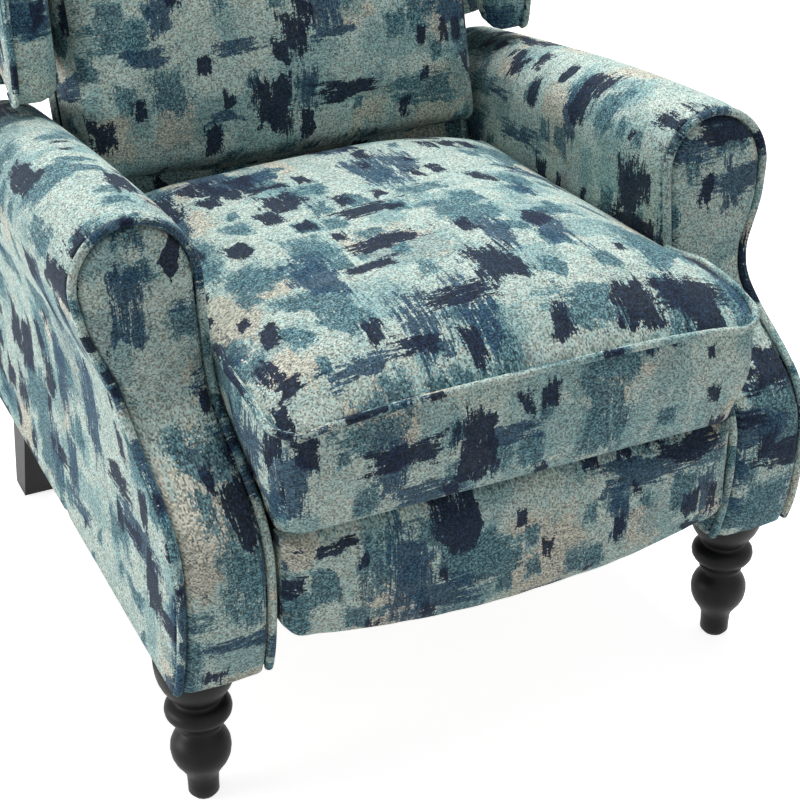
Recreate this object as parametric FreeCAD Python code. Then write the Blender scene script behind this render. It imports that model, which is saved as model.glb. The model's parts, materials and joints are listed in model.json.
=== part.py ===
import FreeCAD, Part
import os, math

# Wingback push-back recliner. Millimetres, +Z up, -Y is the front, +X the chair's right seen from the front camera.
# Working frame: y = 0 at the foot of the arm fronts, z = 0 on the floor. Every shape is moved by -Y_MID at export.

V = FreeCAD.Vector

# Driving sizes, arms
HEM_Z = 170.0
ARM_INNER_X = 239.0
SCROLL_R = 61.5
SCROLL_Z = 512.0
SCROLL_X = ARM_INNER_X + SCROLL_R
ARM_OUTER_X = SCROLL_X + SCROLL_R
WAIST_X = 331.0
HEM_OUT_X = 336.0
ARM_REAR_Y = 640.0
ARM_REAR_R = 50.0
ARM_REAR_TOP = 513.0
TAPER_Y = 130.0
TAPER_POWER = 1.45
WELT_R = 4.5
GAP = 0.3
PANEL_T = 10.0

# Driving sizes, wooden base
PLY = 18.0
SIDE_IN_X = ARM_INNER_X + 7.0
SIDE_OUT_X = SIDE_IN_X + PLY
SIDE_TOP_Z = 492.0
RAIL_T = 20.0
LEG_Y = 58.6
LEG_X = 297.2
GLIDE_T = 2.5
GLIDE_R = 12.0
BOLT_R = 4.0
BOLT_IN = 34.0
REAR_LEG_X = 292.0
REAR_LEG_W = 45.0
REAR_BOLT_Y = 607.0
BLOCK_H = 40.0

# Driving sizes, mechanism
STEEL = 3.0
LINK_T = 4.0
PLAY = 0.5
PIN_R = 5.0
HOLE_R = 5.06
OPEN_R = 5.5
BASE_PLATE_IN = SIDE_IN_X - STEEL
SWING_OUT = BASE_PLATE_IN - PLAY
SWING_IN = SWING_OUT - LINK_T
SEAT_PLATE_OUT = SWING_IN - PLAY
SEAT_PLATE_IN = SEAT_PLATE_OUT - STEEL
LINK_A_OUT = SEAT_PLATE_IN - PLAY
LINK_A_IN = LINK_A_OUT - LINK_T
LINK_B_OUT = LINK_A_IN - PLAY
LINK_B_IN = LINK_B_OUT - LINK_T
BRACKET_OUT = LINK_B_IN - PLAY
BRACKET_IN = BRACKET_OUT - STEEL
SWING_LEN = 95.0
SWING_W = 12.0
SWING_LEAN = 20.0
FRONT_Y = 150.0
REAR_Y = 430.0
SWING_Z = 215.0
LINK_LEN = 148.0
A_REST = 235.0
B_REST = 60.0
P0_Y = 49.0
P0_Z = 302.0
HINGE_Y = 560.0
HINGE_Z = 332.0
POCKET_TOP = SWING_Z + SWING_LEN + SWING_W + 4.0

# Driving sizes, seat
SEAT_HALF = ARM_INNER_X - 0.8
SEAT_FRONT_Y = -30.5
SEAT_REAR_Y = 505.0
BOX_Z = 326.5
RAIL_Z0 = 331.0
RAIL_Z1 = 376.0
DECK_Z = RAIL_Z1 + 4.8
SEAT_RAIL_Y0 = -2.0
SEAT_RAIL_Y1 = 528.0

# Driving sizes, back (local frame: pivot at 0, upright, then leaned)
LEAN = 18.0
BACK_TOP = 722.0
CUSHION_HALF = 236.0
SKIN_T = 1.5
POST_FRONT = -14.0
POST_BACK = 12.0
TOP_BAND = 8.0
BACK_T = 12.0
POST_X0 = 200.0
POST_X1 = LINK_A_IN
WING_IN = 264.0
WING_OUT = 302.0

# Driving sizes, footrest
PAD_HALF = 236.0
PAD_Y = -20.0
PAD_T = 26.0
BOARD_T = 12.0
BOARD_HALF = 215.0
PAD_TOP = 321.0

SEAT_WELT_R = 4.0
SEAT_WELT_Y = SEAT_FRONT_Y - 5.5
BACK_OUT = POST_BACK + GAP + BACK_T
FRONT_EXT = SEAT_WELT_Y - SEAT_WELT_R
REAR_EXT = HINGE_Y + BACK_OUT * math.cos(math.radians(LEAN)) + BACK_TOP * math.sin(math.radians(LEAN))
Y_MID = (FRONT_EXT + REAR_EXT) / 2.0


def save(name, shape):
    s = shape.copy()
    s.translate(V(0, -Y_MID, 0))
    s.exportStep("parts/" + name + ".step")


def mirror(shape):
    return shape.mirror(V(0, 0, 0), V(1, 0, 0))


def box(x0, x1, y0, y1, z0, z1):
    return Part.makeBox(x1 - x0, y1 - y0, z1 - z0, V(x0, y0, z0))


def spline(points, start=None, end=None):
    c = Part.BSplineCurve()
    if start is not None and end is not None:
        c.interpolate(Points=points, InitialTangent=start, FinalTangent=end)
    else:
        c.interpolate(points)
    return c


def facets(curve, n):
    # a curve as n straight edges
    lo = curve.FirstParameter
    hi = curve.LastParameter
    pts = [curve.value(lo + (hi - lo) * i / n) for i in range(n + 1)]
    return [Part.makeLine(pts[i], pts[i + 1]) for i in range(n)]


def post_z(r, n, x, y, z0, z1):
    # upright rod with n sides
    ring = [V(x + r * math.cos(2 * math.pi * i / n), y + r * math.sin(2 * math.pi * i / n), z0) for i in range(n)]
    return Part.Face(Part.makePolygon(ring + [ring[0]])).extrude(V(0, 0, z1 - z0))


def prism_x(edges, x0, x1):
    face = Part.Face(Part.Wire(edges))
    face.translate(V(x0, 0, 0))
    return face.extrude(V(x1 - x0, 0, 0))


def poly_x(points, x0, x1):
    pts = [V(x0, p[0], p[1]) for p in points]
    face = Part.Face(Part.makePolygon(pts + [pts[0]]))
    return face.extrude(V(x1 - x0, 0, 0))


def poly_y(points, y0, y1):
    pts = [V(p[0], y0, p[1]) for p in points]
    face = Part.Face(Part.makePolygon(pts + [pts[0]]))
    return face.extrude(V(0, y1 - y0, 0))


def cyl_x(x0, x1, y, z, r):
    return Part.makeCylinder(r, x1 - x0, V(x0, y, z), V(1, 0, 0))


def tube(points, r, n=None):
    # round cord along a smooth line through the points
    curve = spline(points)
    lo = curve.FirstParameter
    hi = curve.LastParameter
    n = n or len(points)
    return wire_rod([curve.value(lo + (hi - lo) * i / n) for i in range(n + 1)], r)


def wire_rod(points, r, sides=8):
    # rings carried along the points without twist, then lofted
    rings = []
    up = None
    last = len(points) - 1
    for i, p in enumerate(points):
        t0 = (points[i] - points[i - 1]).normalize() if i > 0 else None
        t1 = (points[i + 1] - points[i]).normalize() if i < last else None
        t = (t0 + t1).normalize() if t0 and t1 else (t0 or t1)
        if up is None:
            up = V(0, 0, 1) if abs(t.z) < 0.9 else V(0, 1, 0)
        up = up - t * up.dot(t)
        up.normalize()
        side = t.cross(up)
        k = 1.0
        if t0 and t1:
            k = 1.0 / max(0.5, math.sqrt((1.0 + t0.dot(t1)) / 2.0))
            bend = (t1 - t0)
            bend = bend.normalize() if bend.Length > 1e-6 else up
        ring = []
        for j in range(sides):
            a = 2.0 * math.pi * (j + 0.5) / sides
            d = up * (r * math.cos(a)) + side * (r * math.sin(a))
            if t0 and t1:
                d = d + bend * (d.dot(bend) * (k - 1.0))
            ring.append(p + d)
        rings.append(Part.makePolygon(ring + [ring[0]]))
    return Part.makeLoft(rings, True, True)


def wire_spring(points, r):
    return wire_rod(points, r, 6)


def ring_solid(rings):
    # solid with flat faces between closed rings of points, both ends flat
    faces = []
    n = len(rings[0])
    for a, b in zip(rings[:-1], rings[1:]):
        for i in range(n):
            j = (i + 1) % n
            faces.append(Part.Face(Part.makePolygon([a[i], a[j], b[j], b[i], a[i]])))
    for r in (rings[0], rings[-1]):
        faces.append(Part.Face(Part.makePolygon(r + [r[0]])))
    s = Part.Solid(Part.Shell(faces))
    if s.Volume < 0:
        s.reverse()
    return s


def solid_of(shape):
    if shape.Solids and len(shape.Solids) == 1:
        return shape.Solids[0]
    return shape


# The swept S profile of the arm front: y of the front face at each height
S_PROFILE = [
    (3.0, 170.0), (-4.0, 190.0), (-11.5, 230.0), (-14.0, 275.0), (-9.0, 310.0), (9.0, 336.0),
    (40.0, 357.0), (76.0, 377.0), (104.0, 398.0), (119.0, 425.0), (125.0, 455.0), (130.0, 490.0),
    (136.0, 530.0), (143.0, 580.0)]


def s_curve(dy):
    return spline([V(0, y + dy, z) for y, z in S_PROFILE])


def s_y(z):
    c = s_curve(0.0)
    lo = c.FirstParameter
    hi = c.LastParameter
    for i in range(40):
        mid = (lo + hi) / 2.0
        if c.value(mid).z < z:
            lo = mid
        else:
            hi = mid
    return c.value((lo + hi) / 2.0).y


def behind_s(dy, x0, x1, y_back=700.0):
    # everything behind the S profile moved back by dy
    c = s_curve(dy)
    first = c.value(c.FirstParameter)
    last = c.value(c.LastParameter)
    low = V(0, first.y, 120.0)
    high = V(0, last.y, 640.0)
    edges = [
        Part.makeLine(low, first), Part.makeLine(last, high),
        Part.makeLine(high, V(0, y_back, 640.0)), Part.makeLine(V(0, y_back, 640.0), V(0, y_back, 120.0)),
        Part.makeLine(V(0, y_back, 120.0), low)] + facets(c, 20)
    return prism_x(Part.__sortEdges__(edges), x0, x1)


def taper(y):
    # share of the change from the front roll to the rear one
    return (max(0.0, y - TAPER_Y) / (ARM_REAR_Y - TAPER_Y)) ** TAPER_POWER


def arm_edges(y, inset, z0=HEM_Z):
    # closed outline of the arm in the plane y, right-hand side
    k = taper(y)
    r = SCROLL_R + (ARM_REAR_R - SCROLL_R) * k - inset
    zc = SCROLL_Z + (ARM_REAR_TOP - ARM_REAR_R - SCROLL_Z) * k
    xc = SCROLL_X + (ARM_INNER_X + ARM_REAR_R - SCROLL_X) * k
    waist = WAIST_X + 4.0 * k
    xi = xc - r
    xo = xc + r
    hem = HEM_OUT_X - inset
    drop = zc - z0
    pts = [
        V(xo, y, zc), V(xo - 0.20 * (xo - waist), y, zc - 0.10 * drop),
        V(waist - inset + 6.0, y, zc - 0.26 * drop), V(waist - inset, y, zc - 0.42 * drop),
        V(waist - inset + 0.8, y, zc - 0.66 * drop), V(hem, y, z0)]
    curve = spline(pts, V(0, 0, -1), V(0.02, 0, -1))
    arc = Part.Arc(V(xi, y, zc), V(xc, y, zc + r), V(xo, y, zc))
    return [Part.makeLine(V(xi, y, z0), V(xi, y, zc))] + facets(arc, 10) + facets(curve, 9) + [
        Part.makeLine(V(hem, y, z0), V(xi, y, z0))]


def outer_curve(inset):
    edges = arm_edges(0.0, inset)[11:20]
    return [e.Vertexes[-1].Point for e in edges]


def arm_outline_points(inset, n_arc=9):
    r = SCROLL_R - inset
    pts = []
    for z in (HEM_Z, 200.0, 240.0, 280.0, 310.0, 325.0, 340.0, 355.0, 370.0, 385.0, 400.0, 440.0, 480.0):
        pts.append((SCROLL_X - r, z))
    for i in range(n_arc):
        a = math.pi - math.pi * i / (n_arc - 1.0)
        pts.append((SCROLL_X + r * math.cos(a), SCROLL_Z + r * math.sin(a)))
    for p in outer_curve(inset):
        pts.append((p.x, p.z))
    return pts


def arm_full(inset):
    wires = []
    for y in (-40.0, TAPER_Y, 230.0, 330.0, 430.0, 530.0, ARM_REAR_Y):
        wires.append(Part.Wire(arm_edges(y, inset)))
    body = Part.makeLoft(wires, True, True)
    return body


def side_frame():
    pts = [
        (14.0, HEM_Z + 2.0), (620.0, HEM_Z + 2.0), (620.0, 452.0), (345.0, SIDE_TOP_Z), (170.0, SIDE_TOP_Z),
        (160.0, 430.0), (140.0, 396.0), (60.0, 352.0), (14.0, 316.0)]
    return poly_x(pts, SIDE_IN_X, SIDE_OUT_X)


def scroll_board():
    body = Part.Face(Part.Wire(arm_edges(-60.0, 12.0, HEM_Z + 2.0))).extrude(V(0, 300, 0))
    band = behind_s(PANEL_T + 12.0, 200.0, 400.0).cut(behind_s(PANEL_T + 26.0, 200.0, 400.0))
    board = body.common(band)
    inner = box(200.0, SIDE_OUT_X, -60.0, 300.0, 120.0, 640.0)
    return solid_of(board.cut(inner))


def arm_pocket():
    # space inside the arm, open at the hem, where the wooden frame stands
    pts = [(34.0, 150.0), (624.0, 150.0), (624.0, 440.0), (345.0, 470.0), (200.0, 470.0), (180.0, 420.0),
           (150.0, 386.0), (70.0, 345.0), (34.0, 310.0)]
    return poly_x(pts, SIDE_OUT_X, 318.0)


def build_arm():
    body = arm_full(0.0)
    body = body.common(behind_s(PANEL_T, 200.0, 400.0))
    body = body.cut(side_frame())
    body = body.cut(scroll_board())
    body = body.cut(arm_pocket())
    body = body.cut(box(200.0, SIDE_IN_X, 60.0, 700.0, 100.0, POCKET_TOP))
    body = body.cut(box(SIDE_IN_X - 1.0, SIDE_OUT_X + 1.0, 14.0, 621.0, 150.0, HEM_Z + 2.0))
    y = ARM_REAR_Y
    z = ARM_REAR_TOP
    return body.cut(poly_x([(y - 20.0, z + 7.0), (y + 5.0, z + 7.0), (y + 5.0, z - 13.5)], 200.0, 400.0))


def build_arm_panel():
    inset = 2.0 * WELT_R + 1.3
    body = Part.Face(Part.Wire(arm_edges(-80.0, inset))).extrude(V(0, 320, 0))
    band = behind_s(0.0, 200.0, 400.0).cut(behind_s(PANEL_T - GAP, 200.0, 400.0))
    return solid_of(body.common(band))


def build_arm_welt():
    pts = []
    for x, z in arm_outline_points(WELT_R):
        # stand off square to the swept face
        slope = (s_y(z + 1.0) - s_y(z - 1.0)) / 2.0 if z > HEM_Z + 1.0 else (s_y(z + 1.0) - s_y(z))
        n = math.hypot(1.0, slope)
        off = WELT_R + 2.0 * GAP
        lift = off * slope / n if z > HEM_Z + 1.0 else 0.0
        pts.append(V(x, s_y(z) + PANEL_T - off / n, z + lift))
    return tube(pts, WELT_R - 0.8)


def front_leg(side):
    prof = [
        (15.2, GLIDE_T), (15.6, 24.0), (20.0, 34.0), (27.0, 45.0), (29.5, 58.8), (26.5, 71.0),
        (18.5, 80.0), (22.5, 85.5), (20.5, 91.0), (30.5, 99.0), (32.4, 105.7), (30.5, 112.0),
        (22.5, 118.5), (33.0, 134.0), (38.5, 148.0), (39.5, HEM_Z)]
    rings = []
    for r, z in prof:
        ring = [V(r * math.cos(math.pi * i / 9.0), r * math.sin(math.pi * i / 9.0), z) for i in range(18)]
        rings.append(ring)
    leg = ring_solid(rings)
    leg.translate(V(side * LEG_X, LEG_Y, 0))
    return leg.cut(post_z(BOLT_R, 8, side * LEG_X, LEG_Y, HEM_Z - BOLT_IN, HEM_Z + 1.0))


def rear_leg(side):
    x0 = side * REAR_LEG_X - REAR_LEG_W / 2.0
    x1 = side * REAR_LEG_X + REAR_LEG_W / 2.0
    def rect(z, y0, y1, inset):
        return [V(x0 + inset, y0, z), V(x1 - inset, y0, z), V(x1 - inset, y1, z), V(x0 + inset, y1, z)]
    leg = ring_solid([rect(HEM_Z, 580.0, 634.0, 0.0), rect(GLIDE_T, 646.9, 686.1, 2.5)])
    return leg.cut(post_z(BOLT_R, 8, side * REAR_LEG_X, REAR_BOLT_Y, HEM_Z - BOLT_IN, HEM_Z + 1.0))


def leg_blocks():
    out = []
    for s in (-1, 1):
        front = box(SIDE_OUT_X, 317.0, 42.0, 98.0, HEM_Z, HEM_Z + BLOCK_H)
        front = front.cut(post_z(BOLT_R, 8, LEG_X, LEG_Y, HEM_Z - 5.0, HEM_Z + 45.0))
        rear = box(SIDE_OUT_X, 317.0, 576.0, 622.0, HEM_Z, HEM_Z + BLOCK_H)
        rear = rear.cut(post_z(BOLT_R, 8, REAR_LEG_X, REAR_BOLT_Y, HEM_Z - 5.0, HEM_Z + 45.0))
        for b in (front, rear):
            out.append(b if s > 0 else mirror(b))
    return Part.makeCompound(out)


def hanger_bolts():
    out = []
    for s in (-1, 1):
        for x, y in ((LEG_X, LEG_Y), (REAR_LEG_X, REAR_BOLT_Y)):
            out.append(post_z(BOLT_R, 8, s * x, y, HEM_Z - BOLT_IN, HEM_Z + BLOCK_H - 8.0))
    return Part.makeCompound(out)


def floor_glides():
    out = []
    for s in (-1, 1):
        out.append(post_z(GLIDE_R, 16, s * LEG_X, LEG_Y, 0.0, GLIDE_T))
        out.append(post_z(GLIDE_R, 16, s * REAR_LEG_X, 666.5, 0.0, GLIDE_T))
    return Part.makeCompound(out)


def cross_rail(y0, y1, z0, z1):
    return box(-SIDE_IN_X, SIDE_IN_X, y0, y1, z0, z1)


def rear_apron():
    return box(-ARM_INNER_X + GAP, ARM_INNER_X - GAP, 620.0 + GAP, 630.0, HEM_Z, 318.0)


def link_pins():
    # centres of the swing links in the working frame
    dy = SWING_LEN * math.sin(math.radians(SWING_LEAN))
    dz = SWING_LEN * math.cos(math.radians(SWING_LEAN))
    f0 = (FRONT_Y, SWING_Z)
    r0 = (REAR_Y, SWING_Z)
    f1 = (FRONT_Y + dy, SWING_Z + dz)
    r1 = (REAR_Y + dy, SWING_Z + dz)
    return f0, r0, f1, r1


def ottoman_pins():
    a = math.radians(A_REST)
    b = math.radians(B_REST)
    j = (P0_Y - LINK_LEN * math.cos(a), P0_Z + LINK_LEN * math.sin(a))
    e = (j[0] - LINK_LEN * math.cos(b), j[1] + LINK_LEN * math.sin(b))
    return (P0_Y, P0_Z), j, e


def bar(p, q, x0, x1, w, hole_p, hole_q):
    dy = q[0] - p[0]
    dz = q[1] - p[1]
    n = math.hypot(dy, dz)
    ny = -dz / n * w
    nz = dy / n * w
    pts = [(p[0] + ny, p[1] + nz), (q[0] + ny, q[1] + nz), (q[0] - ny, q[1] - nz), (p[0] - ny, p[1] - nz)]
    s = poly_x(pts, x0, x1)
    s = s.fuse([cyl_x(x0, x1, p[0], p[1], w), cyl_x(x0, x1, q[0], q[1], w)])
    s = s.removeSplitter()
    if hole_p:
        s = s.cut(cyl_x(x0 - 1, x1 + 1, p[0], p[1], hole_p))
    if hole_q:
        s = s.cut(cyl_x(x0 - 1, x1 + 1, q[0], q[1], hole_q))
    return solid_of(s)


def rivet(p, x0, x1, head_in=0.0, head_out=0.0):
    s = cyl_x(x0, x1, p[0], p[1], PIN_R)
    if head_in:
        s = s.fuse(cyl_x(x0 - head_in, x0, p[0], p[1], PIN_R + 3.0))
    if head_out:
        s = s.fuse(cyl_x(x1, x1 + head_out, p[0], p[1], PIN_R + 3.0))
    return solid_of(s.removeSplitter())


def base_plate():
    f0, r0, f1, r1 = link_pins()
    low = SWING_Z - 16.0
    pts = [(FRONT_Y - 40, low), (REAR_Y + 60, low), (REAR_Y + 60, SWING_Z + 47), (REAR_Y - 10, SWING_Z + 55),
           (FRONT_Y + 30, SWING_Z + 55), (FRONT_Y - 40, SWING_Z + 35)]
    s = poly_x(pts, BASE_PLATE_IN, SIDE_IN_X)
    for p in (f0, r0):
        s = s.fuse(rivet(p, SWING_IN - 0.2, BASE_PLATE_IN + 1.0, 2.0, 0.0))
    return solid_of(s.removeSplitter())


def seat_plate():
    f0, r0, f1, r1 = link_pins()
    p0, j, e = ottoman_pins()
    pts = [(P0_Y - 22, 290), (P0_Y + 20, 284), (FRONT_Y, 290), (REAR_Y + 60, 290), (HINGE_Y + 10, 312),
           (HINGE_Y + 22, 325), (HINGE_Y + 18, 350), (HINGE_Y - 20, 352), (SEAT_RAIL_Y1 - 4, 345),
           (P0_Y - 22, 345)]
    s = poly_x(pts, SEAT_PLATE_IN, SEAT_PLATE_OUT)
    for p, r in ((f1, HOLE_R), (r1, OPEN_R)):
        s = s.cut(cyl_x(SEAT_PLATE_IN - 1.0, SEAT_PLATE_OUT + 1.0, p[0], p[1], r))
    s = s.fuse(rivet(p0, LINK_A_IN - 0.2, SEAT_PLATE_IN + 1.0, 0.0, 0.0))
    s = s.fuse(rivet((HINGE_Y, HINGE_Z), LINK_A_IN - 0.2, SEAT_PLATE_IN + 1.0, 2.0, 0.0))
    return solid_of(s.removeSplitter())


def swing_links(front):
    f0, r0, f1, r1 = link_pins()
    p = f0 if front else r0
    q = f1 if front else r1
    s = bar(p, q, SWING_IN, SWING_OUT, SWING_W, HOLE_R, 0)
    s = s.fuse(rivet(q, SEAT_PLATE_IN - 0.2, SWING_IN + 1.0, 2.0, 0.0))
    return solid_of(s.removeSplitter())


def swing_cross_tube():
    f0, r0, f1, r1 = link_pins()
    y = (f0[0] + f1[0]) / 2.0
    z = (f0[1] + f1[1]) / 2.0
    tube_out = cyl_x(-SWING_IN, SWING_IN, y, z, 9.0)
    return tube_out.cut(cyl_x(-SWING_IN - 1, SWING_IN + 1, y, z, 7.0))


def ottoman_link_a():
    p0, j, e = ottoman_pins()
    s = bar(p0, j, LINK_A_IN, LINK_A_OUT, 11.0, HOLE_R, 0)
    s = s.fuse(rivet(j, LINK_B_IN - 0.2, LINK_A_IN + 1.0, 0.0, 0.0))
    return solid_of(s.removeSplitter())


def ottoman_link_b():
    p0, j, e = ottoman_pins()
    s = bar(j, e, LINK_B_IN, LINK_B_OUT, 11.0, HOLE_R, 0)
    s = s.fuse(rivet(e, BRACKET_IN - 0.2, LINK_B_IN + 1.0, 2.0, 0.0))
    return solid_of(s.removeSplitter())


def footrest_bracket():
    p0, j, e = ottoman_pins()
    back = PAD_Y + PAD_T + BOARD_T
    ear = poly_x([(back, e[1] + 11.0), (e[0], e[1] + 11.0), (e[0] + 11.0, e[1]), (e[0], e[1] - 11.0),
                  (back + 3.0, e[1] - 70.0), (back, e[1] - 70.0)], BRACKET_IN, BRACKET_OUT)
    flange = box(BRACKET_IN - 36.0, BRACKET_OUT, back, back + STEEL, e[1] - 70.0, e[1] + 11.0)
    s = ear.fuse(flange).removeSplitter()
    s = s.cut(cyl_x(BRACKET_IN - 1, BRACKET_OUT + 1, e[0], e[1], HOLE_R))
    return solid_of(s)


def footrest_outline(half, z_top, rise, y):
    # arched lower edge with rounded lower corners
    z_mid = 183.0 + rise
    k = half / PAD_HALF
    pts = [(0.0, z_mid), (124.0 * k, z_mid + 8.0), (168.0 * k, z_mid + 16.0), (205.0 * k, z_mid + 24.0),
           (226.0 * k, z_mid + 32.0), (half, z_mid + 46.0)]
    right = [V(x, y, z) for x, z in pts]
    left = [V(-x, y, z) for x, z in reversed(pts[1:])]
    low = spline(left + right)
    return facets(low, 16) + [Part.makeLine(V(half, y, z_mid + 46.0), V(half, y, z_top)),
            Part.makeLine(V(half, y, z_top), V(-half, y, z_top)),
            Part.makeLine(V(-half, y, z_top), V(-half, y, z_mid + 46.0))]


def footrest_pad():
    body = Part.Face(Part.Wire(footrest_outline(PAD_HALF, PAD_TOP, 0.0, -60.0))).extrude(V(0, 120, 0))
    # front face crowned in both directions, kept under a half circle
    arc = Part.Arc(V(-PAD_HALF - 1, PAD_Y + 8.0, 0), V(0, PAD_Y, 0), V(PAD_HALF + 1, PAD_Y + 8.0, 0))
    back = PAD_Y + PAD_T
    edges = facets(arc, 8) + [Part.makeLine(V(PAD_HALF + 1, PAD_Y + 8.0, 0), V(PAD_HALF + 1, back, 0)),
             Part.makeLine(V(PAD_HALF + 1, back, 0), V(-PAD_HALF - 1, back, 0)),
             Part.makeLine(V(-PAD_HALF - 1, back, 0), V(-PAD_HALF - 1, PAD_Y + 8.0, 0))]
    plan = Part.Face(Part.Wire(edges)).extrude(V(0, 0, 400))
    side = Part.Arc(V(0, PAD_Y + 9.0, PAD_TOP + 1), V(0, PAD_Y, 260.0), V(0, PAD_Y + 10.0, 175.0))
    edges = facets(side, 6) + [Part.makeLine(V(0, PAD_Y + 10.0, 175.0), V(0, back, 175.0)),
             Part.makeLine(V(0, back, 175.0), V(0, back, PAD_TOP + 1)),
             Part.makeLine(V(0, back, PAD_TOP + 1), V(0, PAD_Y + 9.0, PAD_TOP + 1))]
    return solid_of(body.common(plan).common(prism_x(edges, -300.0, 300.0)))


def footrest_board():
    face = Part.Face(Part.Wire(footrest_outline(BOARD_HALF, PAD_TOP - 4.0, 8.0, PAD_Y + PAD_T)))
    return face.extrude(V(0, BOARD_T, 0))


def seat_cushion():
    # side profile: boxed front, rounded front edge, crowned top that falls to the rear
    front = [V(0, -24.0, BOX_Z), V(0, -31.0, 350.0), V(0, -33.0, 385.0), V(0, -31.0, 415.0), V(0, SEAT_FRONT_Y + 1.5, 436.0)]
    top = [V(0, SEAT_FRONT_Y + 1.5, 436.0), V(0, -12.0, 456.0), V(0, 30.0, 478.0), V(0, 110.0, 493.0),
           V(0, 220.0, 496.0), V(0, 340.0, 488.0), V(0, 430.0, 474.0), V(0, 474.0, 457.0), V(0, SEAT_REAR_Y, 428.0)]
    c1 = spline(front)
    c2 = spline(top)
    rear = SEAT_REAR_Y
    y1 = SEAT_RAIL_Y0 - GAP
    edges = facets(c1, 5) + facets(c2, 12) + [Part.makeLine(V(0, rear, 428.0), V(0, rear, DECK_Z)),
             Part.makeLine(V(0, rear, DECK_Z), V(0, y1, DECK_Z)), Part.makeLine(V(0, y1, DECK_Z), V(0, y1, BOX_Z)),
             Part.makeLine(V(0, y1, BOX_Z), V(0, -24.0, BOX_Z))]
    side = prism_x(edges, -SEAT_HALF - 20, SEAT_HALF + 20)
    # front profile: sides drawn in a little above and below, top crowned from side to side
    h = SEAT_HALF
    side_r = spline([V(h - 3.0, -80, BOX_Z - 8), V(h, -80, 380.0), V(h - 1.5, -80, 425.0), V(h - 7.0, -80, 444.0)])
    side_l = spline([V(-h + 7.0, -80, 444.0), V(-h + 1.5, -80, 425.0), V(-h, -80, 380.0), V(-h + 3.0, -80, BOX_Z - 8)])
    crown = spline([V(h - 7.0, -80, 444.0), V(h - 22.0, -80, 461.0), V(h - 60.0, -80, 479.0), V(h - 130.0, -80, 494.0),
                    V(0, -80, 501.0), V(-h + 130.0, -80, 494.0), V(-h + 60.0, -80, 479.0),
                    V(-h + 22.0, -80, 461.0), V(-h + 7.0, -80, 444.0)])
    edges = facets(side_r, 4) + facets(crown, 14) + facets(side_l, 4) + [
             Part.makeLine(V(-h + 3.0, -80, BOX_Z - 8), V(h - 3.0, -80, BOX_Z - 8))]
    face = Part.Face(Part.Wire(edges))
    tilt = math.radians(2.2)
    body = face.extrude(V(0, 640.0 * math.cos(tilt), -640.0 * math.sin(tilt)))
    seat = side.common(body)
    skirt_out = box(SEAT_PLATE_IN, h - 1.0, y1, 110.0, 346.5, DECK_Z + 1.0)
    seat = seat.fuse([skirt_out, mirror(skirt_out)])
    seat = seat.removeSplitter().cut(seat_welt(SEAT_WELT_R + GAP))
    return solid_of(seat)


def seat_welt(r=SEAT_WELT_R):
    y = SEAT_WELT_Y
    h = SEAT_HALF
    pts = [V(-h + 5.5, y + 106.0, 446.0), V(-h + 4.5, y + 61.0, 447.0), V(-h + 3.5, y + 31.0, 440.0),
           V(-h + 12.0, y + 9.0, 431.0), V(-210.0, y + 3.0, 430.0), V(-150.0, y + 1.0, 436.0),
           V(-70.0, y, 437.5), V(0.0, y, 438.0)]
    pts = pts + [V(-p.x, p.y, p.z) for p in reversed(pts[:-1])]
    return tube(pts, r)


def seat_springs():
    out = []
    for i in range(5):
        x = -150.0 + 75.0 * i
        y0 = SEAT_RAIL_Y0 + 9.0
        y1 = SEAT_RAIL_Y1 - 9.0
        n = 8
        pts = [V(x, y0, RAIL_Z1 + 2.3)]
        for k in range(1, n):
            y = y0 + (y1 - y0) * k / n
            amp = 20.0 if k % 2 else -20.0
            pts.append(V(pts[-1].x, y, RAIL_Z1 + 2.3))
            pts.append(V(x + amp, y, RAIL_Z1 + 2.3))
        pts.append(V(pts[-1].x, y1, RAIL_Z1 + 2.3))
        out.append(wire_spring(pts, 2.0))
    return Part.makeCompound(out)


def lean_back(shape):
    s = shape.copy()
    s.rotate(V(0, 0, 0), V(1, 0, 0), -LEAN)
    s.translate(V(0, HINGE_Y, HINGE_Z))
    return s


def back_post():
    # local frame: y is depth, z runs up the back
    return box(POST_X0, POST_X1, -14.0, 12.0, 26.0, BACK_TOP - 40.0)


def back_rails():
    x = POST_X0
    return (box(-x, x, -14.0, 12.0, BACK_TOP - 90.0, BACK_TOP - 40.0), box(-x, x, -14.0, 12.0, 330.0, 370.0),
            box(-x, x, -14.0, 12.0, 60.0, 110.0))


def back_bracket():
    pts = [(POST_FRONT, -14.0), (POST_BACK, -14.0), (POST_BACK, 26.0), (POST_BACK, 190.0), (POST_FRONT, 190.0), (POST_FRONT - 2.0, 26.0)]
    s = poly_x(pts, LINK_A_IN, LINK_A_OUT)
    s = s.cut(cyl_x(LINK_A_IN - 1, LINK_A_OUT + 1, 0.0, 0.0, HOLE_R))
    return solid_of(s)


def back_springs():
    out = []
    for i in range(4):
        x = -120.0 + 80.0 * i
        z0 = 92.0
        z1 = BACK_TOP - 60.0
        n = 8
        pts = [V(x, -16.3, z0)]
        for k in range(1, n):
            z = z0 + (z1 - z0) * k / n
            amp = 20.0 if k % 2 else -20.0
            pts.append(V(pts[-1].x, -16.3, z))
            pts.append(V(x + amp, -16.3, z))
        pts.append(V(pts[-1].x, -16.3, z1))
        out.append(wire_spring(pts, 2.0))
    return Part.makeCompound(out)


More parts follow.
